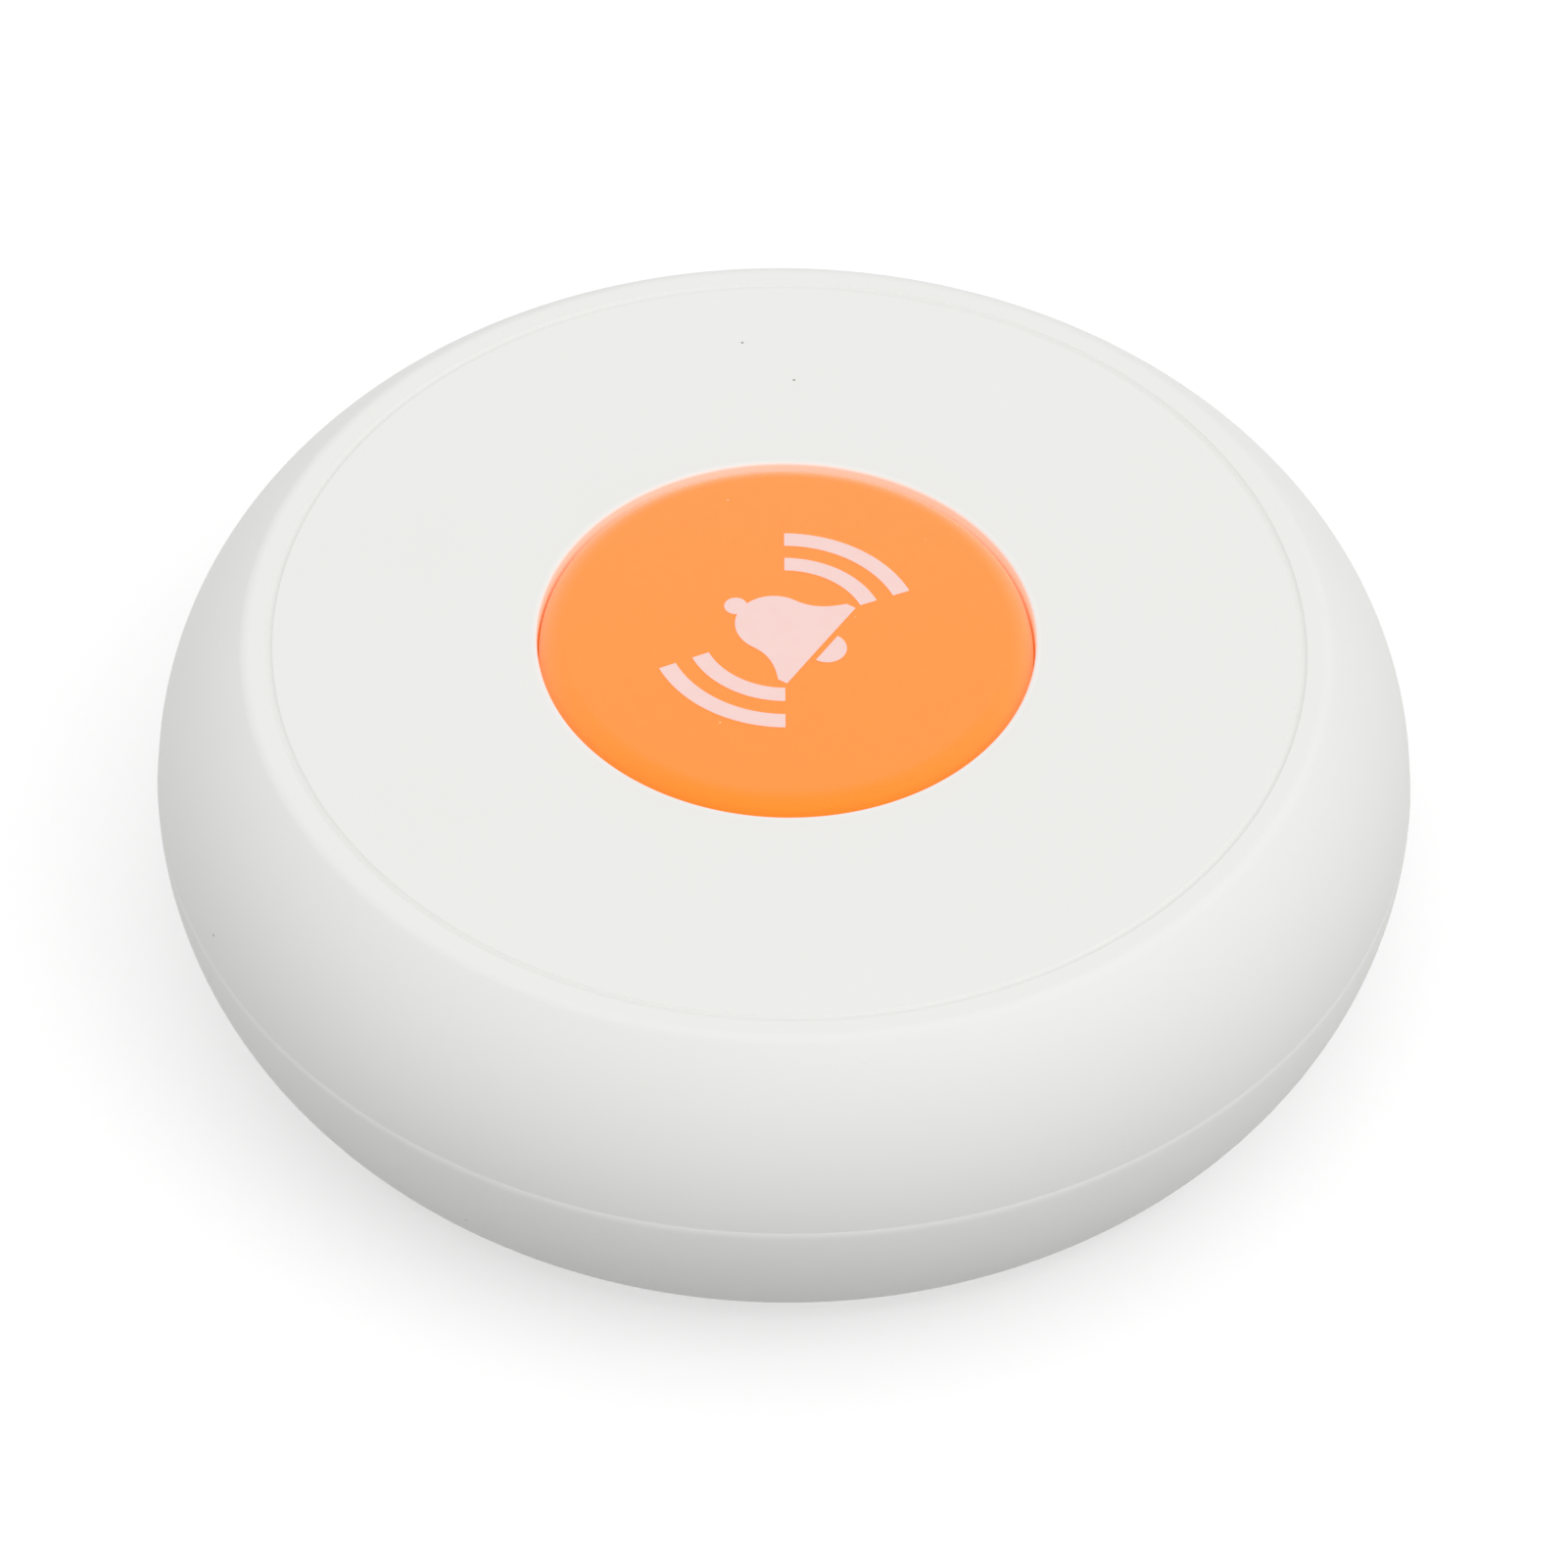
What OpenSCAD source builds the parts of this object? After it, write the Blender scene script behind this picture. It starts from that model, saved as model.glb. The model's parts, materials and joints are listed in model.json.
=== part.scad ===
// Round wireless call button: a two-part white housing that stands on four rubber feet, with one
// orange push button in the middle of its flat top. The origin is on the counter, under the centre.

/* [Housing] */
// Largest outside diameter of the housing
body_d = 60; // [54:0.5:70]
// Height of the flat top face above the counter
body_h = 19; // [17.2:0.1:20.8]
// Drop from the top face to the widest point of the side
bulge_drop = 8.6; // [8.2:0.1:9.2]
// Rise from the widest point to the joint line of the two shells
joint_rise = 0.15; // [0.15:0.05:0.5]
// Radius of the side's curve above the widest point
upper_side_r = 10.7; // [10.4:0.1:11.5]
// Radius of the side's curve below the widest point
lower_side_r = 12.5; // [12.2:0.1:13.5]
// Wall thickness of the shells
wall = 2; // [1.6:0.1:2.2]
// Thickness of the base's floor
floor_t = 2.4; // [2.2:0.1:2.8]
// Rounding of the rim of the top face
rim_round = 0.9; // [0.4:0.1:1.2]
// Rounding of the lower edge of the base
base_round = 0.8; // [0.4:0.1:1]
// Bevelled step at the joint line, where the base stands out past the cover
joint_step = 0.05; // [0.03:0.01:0.1]
// Flat lip between the ring groove and the rim of the top face
groove_inset = 0.9; // [0.65:0.05:4]
// Width of the ring groove
groove_w = 0.35; // [0.3:0.05:1.2]
// Depth of the ring groove
groove_depth = 0.13; // [0.05:0.01:0.14]

/* [Joint between the shells] */
// Thickness of the top cover's lip at the joint
lip_t = 1.2; // [1:0.1:1.4]
// Height of the base's tongue inside that lip
tongue_h = 1.8; // [1.4:0.1:2.2]
// Thickness of the base's tongue
tongue_t = 1.3; // [1.1:0.1:1.6]
// Height of the gasket on the tongue
gasket_h = 0.8; // [0.6:0.1:1]

/* [Push button] */
// Diameter of the button cap
cap_d = 23.4; // [20:0.1:24]
// Gap between the cap and its opening, all round
cap_gap = 0.08; // [0.06:0.02:0.3]
// Height of the cap's crown above the top face
cap_proud = 0.45; // [0.3:0.05:0.8]
// Radius of the cap's shallow crown
crown_r = 360; // [200:10:600]
// Rounding of the cap's edge
cap_round = 1.3; // [0.8:0.1:1.5]
// Thickness of the cap's face
cap_face_t = 2; // [1.6:0.1:2.4]
// Thickness of the cap's skirt
skirt_t = 1.6; // [1.2:0.1:2]
// Travel of the button
travel = 0.6; // [0.4:0.05:0.8]
// Wall of the guide collar
collar_t = 2.5; // [2.2:0.1:2.8]
// Rounding of the opening's edge
opening_round = 0.15; // [0.1:0.05:0.4]
// Reach of the lugs that hold the cap in
lug_reach = 0.9; // [0.6:0.1:1.1]
// Height of those lugs
lug_h = 0.8; // [0.6:0.1:1]
// Angle that each lug covers
lug_angle = 16; // [10:1:24]
// Diameter of the cap's pusher
pusher_d = 4.4; // [3.6:0.1:5]

/* [Seal under the button] */
// Outside diameter of the membrane
membrane_d = 30; // [29.4:0.1:33]
// Thickness of the membrane's clamped flange
flange_t = 1; // [0.8:0.1:1.2]
// Thickness of the membrane's web
web_t = 0.5; // [0.4:0.05:0.6]
// Thickness of the pad between pusher and switch
pad_t = 1.3; // [1.1:0.1:1.5]
// Middle radius of the membrane's roll
roll_r = 8.4; // [7.6:0.1:8.6]
// Section radius of the membrane's roll
roll_section_r = 1.5; // [1.2:0.1:1.6]

/* [Inner frame and board] */
// Thickness of the frame's plate
frame_t = 1.4; // [1.2:0.1:1.6]
// Length of the standoffs that carry the board
standoff_len = 2.8; // [2.6:0.1:3]
// Thickness of the circuit board
board_t = 1; // [0.8:0.1:1.2]
// Gap between the battery holder and the board screws' heads
board_screw_gap = 0.75; // [0.3:0.05:1]
// Board outside the board screws' centres
board_edge = 2.6; // [2.2:0.1:3]
// Height of the switch from the board to its plunger's top
switch_h = 4.3; // [4.1:0.1:4.5]
// Width of the switch
switch_w = 6; // [5.6:0.1:6.4]
// Travel of the switch plunger
switch_travel = 0.28; // [0.2:0.01:0.35]

/* [Screws and feet] */
// Flat left between the feet and the rounded edge of the base
foot_edge = 0.4; // [0.1:0.1:1]
// Outside diameter of the case screws' thread
screw_d = 2.5; // [2.2:0.1:2.8]
// Diameter of the case screws' head
screw_head_d = 4.6; // [4.2:0.1:5]
// Height of the case screws' head
screw_head_h = 1.7; // [1.4:0.1:2]
// Length of thread in the top cover's bosses
screw_grip = 3.8; // [3.2:0.1:3.9]
// Outside diameter of the board screws' thread
board_screw_d = 1.9; // [1.6:0.1:2]
// Diameter of the board screws' head
board_screw_head_d = 3.5; // [3.2:0.1:3.8]
// Diameter of the rubber feet
foot_d = 7; // [6:0.1:7.4]
// Height that the feet stand below the base
foot_stand = 0.6; // [0.4:0.1:0.8]
// Depth that the feet sink into the base
foot_seat = 0.9; // [0.7:0.1:1.1]

/* [Battery] */
// Diameter of the coin cell
cell_d = 20; // [19:0.1:20.4]
// Height of the coin cell
cell_h = 3.2; // [2.8:0.1:3.4]
// Space for the spring contact between cell and board
contact_gap = 0.4; // [0.3:0.05:0.5]
// Space under the cell, above the floor
cell_lift = 0.8; // [0.8:0.1:1.4]
// Gap round the cell in the battery opening
cell_pass = 0.6; // [0.4:0.1:1]
// Reach of the battery door's lugs
door_lug_reach = 1.45; // [1:0.05:1.6]
// Height of the battery door's lugs
door_lug_h = 0.6; // [0.4:0.05:0.65]
// Land outside the lugs for the door's O-ring
door_land = 1.8; // [1.6:0.1:2]
// Thickness of the battery door's flange
door_flange_t = 1.25; // [1.1:0.05:1.35]
// Angle that the door turns to unlock
door_turn = 40; // [30:1:50]
// Section diameter of the door's O-ring
door_seal_d = 0.86; // [0.7:0.02:0.9]
// Width of the coin slot
coin_slot_w = 1.8; // [1.4:0.1:2.4]
// Length of the coin slot
coin_slot_l = 16; // [12:0.5:18]
// Depth of the coin slot
coin_slot_depth = 0.9; // [0.6:0.1:1]

/* [Antenna] */
// Mean radius of the antenna's turns
coil_r = 1.9; // [1.5:0.1:2.1]
// Radius of the antenna's wire
wire_r = 0.3; // [0.2:0.05:0.4]
// Turns in the antenna
coil_turns = 9; // [6:1:11]
// Length of the antenna
coil_len = 15; // [12:0.5:16]

/* [Hidden] */
$fn = 96;

// Clearances: easy for loose fits, close for seats that are drawn just apart
easy = 0.2;
close = 0.05;
// Overlap that lets one cut or join pass through the next
past = 0.1;

// Colours of the plastics, metals and rubbers
white_plastic = "#efefed";
orange_plastic = "#ff9a4a";
black_plastic = "#26282a";
dark_rubber = "#3a3c3e";
clear_silicone = "#d9dcda";
board_green = "#1f5a3c";
bright_steel = "#c3c6c9";
copper = "#b87340";

// Side of the housing
body_r = body_d / 2;
bulge_z = body_h - bulge_drop;
joint_z = bulge_z + joint_rise;
base_z = foot_stand;
floor_z = base_z + floor_t;
ceiling_z = body_h - wall;
upper_centre = [body_r - joint_step - upper_side_r, bulge_z];
lower_centre = [body_r - lower_side_r, bulge_z];
rim_centre = fillet_centre(upper_centre, upper_side_r, bulge_drop, rim_round);
base_edge_centre = fillet_centre(lower_centre, lower_side_r, base_z - bulge_z, base_round);
groove_r = rim_centre[0] - groove_inset;

// Shell joint: lip on the cover, tongue on the base, gasket between
lip_r = body_r - lip_t;
tongue_r = lip_r - easy / 2;
tongue_top_z = joint_z + tongue_h;
step_z = tongue_top_z + gasket_h;
tongue_inner_r = tongue_r - tongue_t;

// Stack that stands on the floor: cell, board, frame, membrane, and the collar that clamps it
cell_z = floor_z + cell_lift;
cell_top_z = cell_z + cell_h;
board_z = cell_top_z + contact_gap;
board_top_z = board_z + board_t;
frame_z = board_top_z + standoff_len;
seat_z = frame_z + frame_t;
collar_z = seat_z + flange_t;

// Button
cap_r = cap_d / 2;
opening_r = cap_r + cap_gap;
collar_r = opening_r + collar_t;
lug_r = cap_r + lug_reach;
lug_count = 3;
over_travel = 0.4;
lug_z = collar_z + travel + over_travel;
lug_top_z = lug_z + lug_h;
lug_play = 1;
crown_z = body_h + cap_proud;
cap_face_z = crown_z - cap_face_t;
pad_z = board_top_z + switch_h;
pad_top_z = pad_z + pad_t;
pad_r = 2.6;
rib_t = 1;
rib_h = 1.2;

// Membrane and the frame under it
membrane_r = membrane_d / 2;
roll_inner_r = roll_section_r - web_t;
web_z = seat_z + easy;
pad_web_z = pad_z + past;
frame_hole_r = roll_r + roll_section_r + 3.5 * easy;
rim_t = 1;

// Case screws, their posts and bosses, and the feet that cover them
screw_count = 4;
foot_r = foot_d / 2;
foot_gap = 0.1;
screw_circle_r = base_edge_centre[0] - foot_edge - foot_gap - foot_r;
first_screw_angle = 45;
screw_hole_r = screw_d / 2 + easy;
head_hole_r = screw_head_d / 2 + easy;
post_wall = 1.1;
post_r = head_hole_r + post_wall;
boss_r = screw_d / 2 + 1.35;
head_seat_z = base_z + foot_seat + 3.1;
screw_len = seat_z + screw_grip - head_seat_z;
thread_pitch = 0.9;
thread_depth = 0.22;
foot_round = 0.3;

// Board and the screws that hold it to the frame
holder_inner_r = cell_d / 2 + 0.3;
holder_t = 1.4;
board_screw_r = holder_inner_r + holder_t + board_screw_gap + board_screw_head_d / 2;
board_r = board_screw_r + board_edge;
standoff_r = board_screw_d / 2 + 0.95;
board_screw_angles = [90, 180, 270];
board_screw_head_h = 1.2;
board_screw_grip = 3;
frame_r = board_r + 1;
ear_r = boss_r + 0.3;

// Switch, from the board up
switch_plate_t = 0.3;
plunger_rise = 0.8;
switch_body_h = switch_h - plunger_rise - switch_plate_t;
well_r = 2.5;
well_z = 1.3;
dome_r = 2.3;
dome_h = 0.6;
dome_t = 0.12;
stem_r = 1.75;
plunger_flange_r = 2.2;
leg_t = 0.25;
leg_w = 0.7;
leg_pitch = 4.5;
leg_z = 0.9;
leg_out = 0.55;
leg_foot = 1.05;

// Parts on the board: place of the middle and size
radio_at = [9.6, 0.3];
radio_size = [7.4, 9.6, 0.6];
shield_size = [6.6, 7.2, 1.3];
shield_t = 0.2;
radio_chip_size = [4, 4, 0.8];
controller_at = [-9, 1.2];
controller_size = [5, 5, 0.9];
crystal_at = [-9.2, 6.6];
crystal_size = [3.2, 2.5, 0.8];
light_at = [0, -7];
light_size = [3.2, 2.6, 1.2];
light_lens_r = 0.9;
chip_count = 4;
chip_pitch = 2.6;
capacitor_y = 9.2;
capacitor_size = [1.6, 0.8, 0.8];
resistor_y = -10.2;
resistor_size = [1.6, 0.8, 0.5];

// Battery holder and its contacts
cell_r = cell_d / 2;
holder_z = cell_z + 2 * easy;
holder_mouth = 40;
peg_r = 0.6;
peg_h = 0.8;
peg_circle_r = holder_inner_r + holder_t / 2;
leaf_t = 0.3;
leaf_w = 4;
leaf_foot = 3;
bridge_t = 0.15;
bridge_w = 3;
bridge_len = 12;
bump_len = 5;
bump_slope = 1.2;

// Coin cell: a crimped can, a sealing ring and a lid
can_t = 0.25;
can_h = cell_h - 0.45;
crimp_reach = 0.8;
seal_ring_t = 0.45;

// Battery door: flange outside, plug through the floor, lugs over it
door_recess = 0.1;
door_z = base_z + door_recess;
door_flange_z = door_z + door_flange_t;
door_seat_z = door_flange_z + close;
door_play = 0.15;
door_hole_r = cell_r + cell_pass;
door_plug_r = door_hole_r - door_play;
door_ring_t = 1.35;
door_plate_t = 1.6;
door_plate_z = door_z + door_plate_t;
door_lug_count = 3;
door_lug_r = door_plug_r + door_lug_reach;
door_lug_angle = 24;
door_lug_z = floor_z + close;
door_lug_top_z = door_lug_z + door_lug_h;
door_notch_r = door_lug_r + easy;
door_r = door_notch_r + door_land;
door_well_r = door_r + door_play;
door_notch_angle = door_lug_angle + 4;
first_door_lug_angle = 10;
door_stop_angle = 3;
door_stop_play = 0.6;
door_bevel = 0.3;
door_rib_r = 7;
door_rib_t = 1.2;
door_rib_z = cell_z - past;
door_seal_r = (door_notch_r + door_r) / 2;
door_groove_depth = door_seal_d - 0.01;
door_groove_w = door_seal_d + past;
mark_angle = 90 + door_turn / 2;
mark_r = 0.6;
mark_depth = 0.3;
mark_circle_r = door_well_r + 2.3;
door_mark_circle_r = door_seal_r - 1.7;
mark_line_w = 0.4;

// Antenna: lies off the board's edge, with its lead flat on the board
wire_sides = 6;
rings_per_turn = 8;
lead_on_board = 2.4;
coil_y = board_r + 3 * easy + coil_r + wire_r;
coil_z = board_top_z + wire_r - coil_r;
coil_x = -coil_len / 2;
lead_y = sqrt(board_r * board_r - coil_x * coil_x) - lead_on_board;
lead_rings = 5;

// Points along an arc of radius r about c, from angle a0 to a1 in n steps, without its first point
// when skip is 1
function arc(c, r, a0, a1, n = 12, skip = 0) = [
  for (i = [skip:n])
    let (a = a0 + (a1 - a0) * i / n)
      c + r * [cos(a), sin(a)]
];

// Centre of a fillet of radius f between a level line, rise above or below c, and the inside of a
// circle of radius r about c
function fillet_centre(c, r, rise, f) =
  let (level = abs(rise) - f)
    c + [sqrt((r - f) * (r - f) - level * level), sign(rise) * level];

// Angle at which b is seen from a
function angle_to(a, b) = atan2(b[1] - a[1], b[0] - a[0]);

// Outline of the housing's side from the top face to the joint line
function upper_side() =
  let (
    a = angle_to(upper_centre, rim_centre),
    low = asin(joint_rise / upper_side_r)
  )
    concat(
      arc(rim_centre, rim_round, 90, a, 6),
      arc(upper_centre, upper_side_r, a, low, 18, 1)
    );

// Outline of the housing's side from the base's flat to the widest point
function lower_side() =
  let (a = angle_to(lower_centre, base_edge_centre))
    concat(
      arc(base_edge_centre, base_round, -90, a, 6),
      arc(lower_centre, lower_side_r, a, 0, 16, 1)
    );

// Radius of the shells where they meet
joint_r = upper_centre[0] + sqrt(pow(upper_side_r, 2) - pow(joint_rise, 2));

// Outline of the ring groove, a shallow arc across the top face
function ring_groove() =
  let (
    r = (groove_w * groove_w / 4 + groove_depth * groove_depth) / (2 * groove_depth),
    half = asin(groove_w / 2 / r)
  )
    arc([groove_r, body_h - groove_depth + r], r, -90 - half, -90 + half, 6);

// Inner outline of the top cover, from its step up to the ceiling
function cover_inside() =
  let (r = upper_side_r - wall)
    arc(upper_centre, r, asin((step_z - bulge_z) / r), asin((ceiling_z - bulge_z) / r), 10);

// Inner outline of the base, from its tongue down to the floor
function base_inside() =
  let (
    r = lower_side_r - wall,
    top = -acos((tongue_inner_r - lower_centre[0]) / r),
    low = -asin((bulge_z - floor_z) / r)
  )
    arc(lower_centre, r, top, low, 10);

// Places its children at count even steps round the axis
module around(count, first = 0) {
  for (i = [0:count - 1])
    rotate(first + 360 * i / count)
      children();
}

// Places its children at each board screw
module at_board_screws() {
  for (a = board_screw_angles)
    rotate(a)
      translate([board_screw_r, 0, 0])
        children();
}

// Ring, or part of one, of a rectangular section between two radii and two heights
module band(r0, r1, z0, z1, from = 0, sweep = 360) {
  rotate(from)
    rotate_extrude(angle = sweep)
      translate([r0, z0])
        square([r1 - r0, z1 - z0]);
}

// Box centred in x and y, standing on z = 0
module block(size) {
  translate([-size[0] / 2, -size[1] / 2, 0])
    cube(size);
}

// Pan-head screw: its head's seat is at z = 0, the thread points up and the cross recess faces down
module pan_screw(thread_r, len, head_r, head_h) {
  teeth = floor((len - 1.5) / thread_pitch);
  core_r = thread_r - thread_depth;
  first = len - 1 - teeth * thread_pitch;
  threads = [
    for (i = [0:teeth - 1], side = [0, 1])
      [side == 0 ? core_r : thread_r, first + (i + 0.5 * side) * thread_pitch]
  ];
  recess_w = head_r * 0.28;
  recess_l = head_r * 1.25;
  recess_depth = head_h * 0.55;
  difference() {
    rotate_extrude()
      polygon(concat(
        [[0, -head_h], [head_r * 0.72, -head_h], [head_r, -head_h * 0.55], [head_r, 0], [core_r, 0]],
        threads,
        [[core_r, len - 1], [core_r * 0.35, len], [0, len]]
      ));
    for (turn = [0, 90])
      rotate(turn)
        translate([-recess_l / 2, -recess_w / 2, -head_h - past])
          cube([recess_l, recess_w, recess_depth + past]);
  }
}

// Ring of corner points round p, square to direction d
function wire_ring(p, d, r) =
  let (
    n = cross(d, [1, 0, 0]) / norm(cross(d, [1, 0, 0])),
    b = cross(d, n) / norm(d)
  )
    [for (s = [0:wire_sides - 1]) p + r * (cos(360 * s / wire_sides) * n + sin(360 * s / wire_sides) * b)];

// Round wire of radius r along a path
module wire(path, r) {
  last = len(path) - 1;
  points = [
    for (i = [0:last])
      each wire_ring(path[i], path[min(i + 1, last)] - path[max(i - 1, 0)], r)
  ];
  walls = [
    for (i = [0:last - 1], s = [0:wire_sides - 1])
      let (
        a = i * wire_sides + s,
        b = i * wire_sides + (s + 1) % wire_sides
      )
        each [[a, b, b + wire_sides], [a, b + wire_sides, a + wire_sides]]
  ];
  ends = [
    for (s = [1:wire_sides - 2])
      each [[0, s + 1, s], [last * wire_sides, last * wire_sides + s, last * wire_sides + s + 1]]
  ];
  polyhedron(points = points, faces = concat(walls, ends), convexity = 10);
}

module top_cover() {
  color(white_plastic)
    difference() {
      union() {
        rotate_extrude()
          polygon(concat(
            [[opening_r, collar_z]],
            arc([opening_r + opening_round, body_h - opening_round], opening_round, 180, 90, 4),
            ring_groove(),
            upper_side(),
            [[lip_r, joint_z], [lip_r, step_z]],
            cover_inside(),
            [[collar_r, ceiling_z], [collar_r, collar_z]]
          ));
        around(screw_count, first_screw_angle)
          translate([screw_circle_r, 0, seat_z])
            cylinder(r = boss_r, h = ceiling_z - seat_z + past);
      }
      around(screw_count, first_screw_angle)
        translate([screw_circle_r, 0, seat_z - past])
          cylinder(r = screw_d / 2 + close, h = screw_grip + 2 * easy + past);
      around(lug_count)
        band(opening_r - past, lug_r + easy, collar_z - past, lug_top_z + close,
          -lug_angle / 2 - lug_play, lug_angle + 2 * lug_play);
    }
}

module base_cover() {
  color(white_plastic)
    difference() {
      union() {
        rotate_extrude()
          polygon(concat(
            [
              [door_hole_r, floor_z],
              [door_hole_r, door_seat_z],
              [door_well_r, door_seat_z],
              [door_well_r, base_z]
            ],
            lower_side(),
            [
              [joint_r, joint_z],
              [tongue_r, joint_z],
              [tongue_r, tongue_top_z],
              [tongue_inner_r, tongue_top_z]
            ],
            base_inside()
          ));
        around(screw_count, first_screw_angle)
          translate([screw_circle_r, 0, floor_z - past])
            cylinder(r = post_r, h = frame_z - floor_z + past);
        around(door_lug_count, first_door_lug_angle)
          base_stops();
      }
      around(screw_count, first_screw_angle)
        translate([screw_circle_r, 0, 0])
          screw_well();
      around(door_lug_count, first_door_lug_angle - door_turn)
        band(door_hole_r - past, door_notch_r, door_seat_z - past, floor_z + past,
          -door_notch_angle / 2, door_notch_angle);
      base_marks();
    }
}

// Stops on the floor at both ends of a door lug's turn
module base_stops() {
  locked = door_lug_angle / 2 + door_stop_play;
  open = -door_turn - door_notch_angle / 2 - door_stop_play - door_stop_angle;
  for (from = [locked, open])
    band(door_hole_r + easy, door_notch_r, floor_z - past, door_lug_top_z, from, door_stop_angle);
}

// Seat for a foot, well for a screw's head and hole for its shank
module screw_well() {
  translate([0, 0, base_z - past])
    cylinder(r = foot_r + foot_gap, h = foot_seat + past);
  translate([0, 0, base_z])
    cylinder(r = head_hole_r, h = head_seat_z - base_z);
  translate([0, 0, base_z])
    cylinder(r = screw_hole_r, h = frame_z - base_z + past);
}

// Sunk dots for the door's locked and open places, joined by a fine line
module base_marks() {
  for (a = [mark_angle, mark_angle - door_turn])
    rotate(a)
      translate([mark_circle_r, 0, base_z - past])
        cylinder(r = mark_r, h = mark_depth + past);
  band(mark_circle_r - mark_line_w / 2, mark_circle_r + mark_line_w / 2,
    base_z - past, base_z + mark_depth / 2, mark_angle - door_turn, door_turn);
}

module case_gasket() {
  color(dark_rubber)
    band(tongue_inner_r + past, tongue_r - past, tongue_top_z, step_z);
}

module case_screws() {
  color(bright_steel)
    around(screw_count, first_screw_angle)
      translate([screw_circle_r, 0, head_seat_z])
        pan_screw(screw_d / 2, screw_len, screw_head_d / 2, screw_head_h);
}

module rubber_feet() {
  color(dark_rubber)
    around(screw_count, first_screw_angle)
      translate([screw_circle_r, 0, 0])
        rotate_extrude()
          polygon(concat(
            [[0, 0]],
            arc([foot_r - foot_round, foot_round], foot_round, -90, 0, 5),
            [[foot_r, base_z + foot_seat], [0, base_z + foot_seat]]
          ));
}

module button_cap() {
  half = asin((cap_r - cap_round) / (crown_r - cap_round));
  crown_centre = [0, crown_z - crown_r];
  edge_centre = crown_centre + (crown_r - cap_round) * [sin(half), cos(half)];
  skirt_r = cap_r - skirt_t;
  color(orange_plastic)
    union() {
      rotate_extrude()
        polygon(concat(
          arc(crown_centre, crown_r, 90, 90 - half, 6),
          arc(edge_centre, cap_round, 90 - half, 0, 8, 1),
          [[cap_r, lug_z], [skirt_r, lug_z], [skirt_r, cap_face_z], [0, cap_face_z]]
        ));
      translate([0, 0, pad_top_z])
        cylinder(d = pusher_d, h = cap_face_z - pad_top_z + past);
      around(lug_count)
        band(cap_r - skirt_t / 2, lug_r, lug_z, lug_top_z, -lug_angle / 2, lug_angle);
      around(4, 45)
        translate([0, -rib_t / 2, cap_face_z - rib_h])
          cube([skirt_r + past, rib_t, rib_h + past]);
    }
}

module seal_membrane() {
  top = web_z + web_t;
  dip = asin(web_t / roll_section_r);
  color(clear_silicone)
    rotate_extrude()
      polygon(concat(
        [[0, pad_top_z], [pad_r, pad_top_z], [pad_r, pad_web_z + web_t]],
        arc([roll_r, top], roll_inner_r, 180, 360, 12),
        [[frame_hole_r, top], [frame_hole_r + easy, collar_z], [membrane_r, collar_z]],
        [[membrane_r, seat_z], [frame_hole_r + easy, seat_z], [frame_hole_r, web_z]],
        arc([roll_r, top], roll_section_r, -dip, dip - 180, 12),
        [[pad_r, pad_web_z], [pad_r - past, pad_z], [0, pad_z]]
      ));
}

module inner_frame() {
  color(black_plastic)
    difference() {
      union() {
        translate([0, 0, frame_z])
          cylinder(r = frame_r, h = frame_t);
        around(screw_count, first_screw_angle) {
          translate([screw_circle_r, 0, frame_z])
            cylinder(r = ear_r, h = frame_t);
          translate([frame_r - 2, -ear_r, frame_z])
            cube([screw_circle_r - frame_r + 2, 2 * ear_r, frame_t]);
        }
        band(membrane_r + easy, membrane_r + easy + rim_t, seat_z - past, seat_z + flange_t);
        at_board_screws()
          translate([0, 0, board_top_z])
            cylinder(r = standoff_r, h = standoff_len + past);
      }
      translate([0, 0, frame_z - past])
        cylinder(r = frame_hole_r, h = frame_t + 2 * past);
      around(screw_count, first_screw_angle)
        translate([screw_circle_r, 0, frame_z - past])
          cylinder(r = screw_hole_r, h = frame_t + 2 * past);
      at_board_screws()
        translate([0, 0, board_top_z - past])
          cylinder(r = board_screw_d / 2 + close, h = board_screw_grip + easy + past);
      around(screw_count, first_screw_angle)
        translate([screw_circle_r, 0, seat_z])
          cylinder(r = boss_r + easy, h = flange_t + past);
    }
}

module circuit_board() {
  color(board_green)
    difference() {
      translate([0, 0, board_z])
        cylinder(r = board_r, h = board_t);
      at_board_screws()
        translate([0, 0, board_z - past])
          cylinder(r = board_screw_d / 2 + easy, h = board_t + 2 * past);
      around(screw_count, first_screw_angle)
        translate([screw_circle_r, 0, board_z - past])
          cylinder(r = post_r + 2 * easy, h = board_t + 2 * past);
      around(2, 90)
        translate([peg_circle_r, 0, board_z - past])
          cylinder(r = peg_r + past, h = board_t + 2 * past);
    }
}

module board_screws() {
  color(bright_steel)
    at_board_screws()
      translate([0, 0, board_z])
        pan_screw(board_screw_d / 2, board_t + board_screw_grip,
          board_screw_head_d / 2, board_screw_head_h);
}

module switch_body() {
  color(black_plastic)
    translate([0, 0, board_top_z])
      difference() {
        block([switch_w, switch_w, switch_body_h]);
        translate([0, 0, well_z])
          cylinder(r = well_r, h = switch_body_h);
      }
}

module switch_plate() {
  color(bright_steel)
    translate([0, 0, board_top_z + switch_body_h])
      difference() {
        block([switch_w, switch_w, switch_plate_t]);
        translate([0, 0, -past])
          cylinder(r = stem_r + easy, h = switch_plate_t + 2 * past);
      }
}

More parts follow.
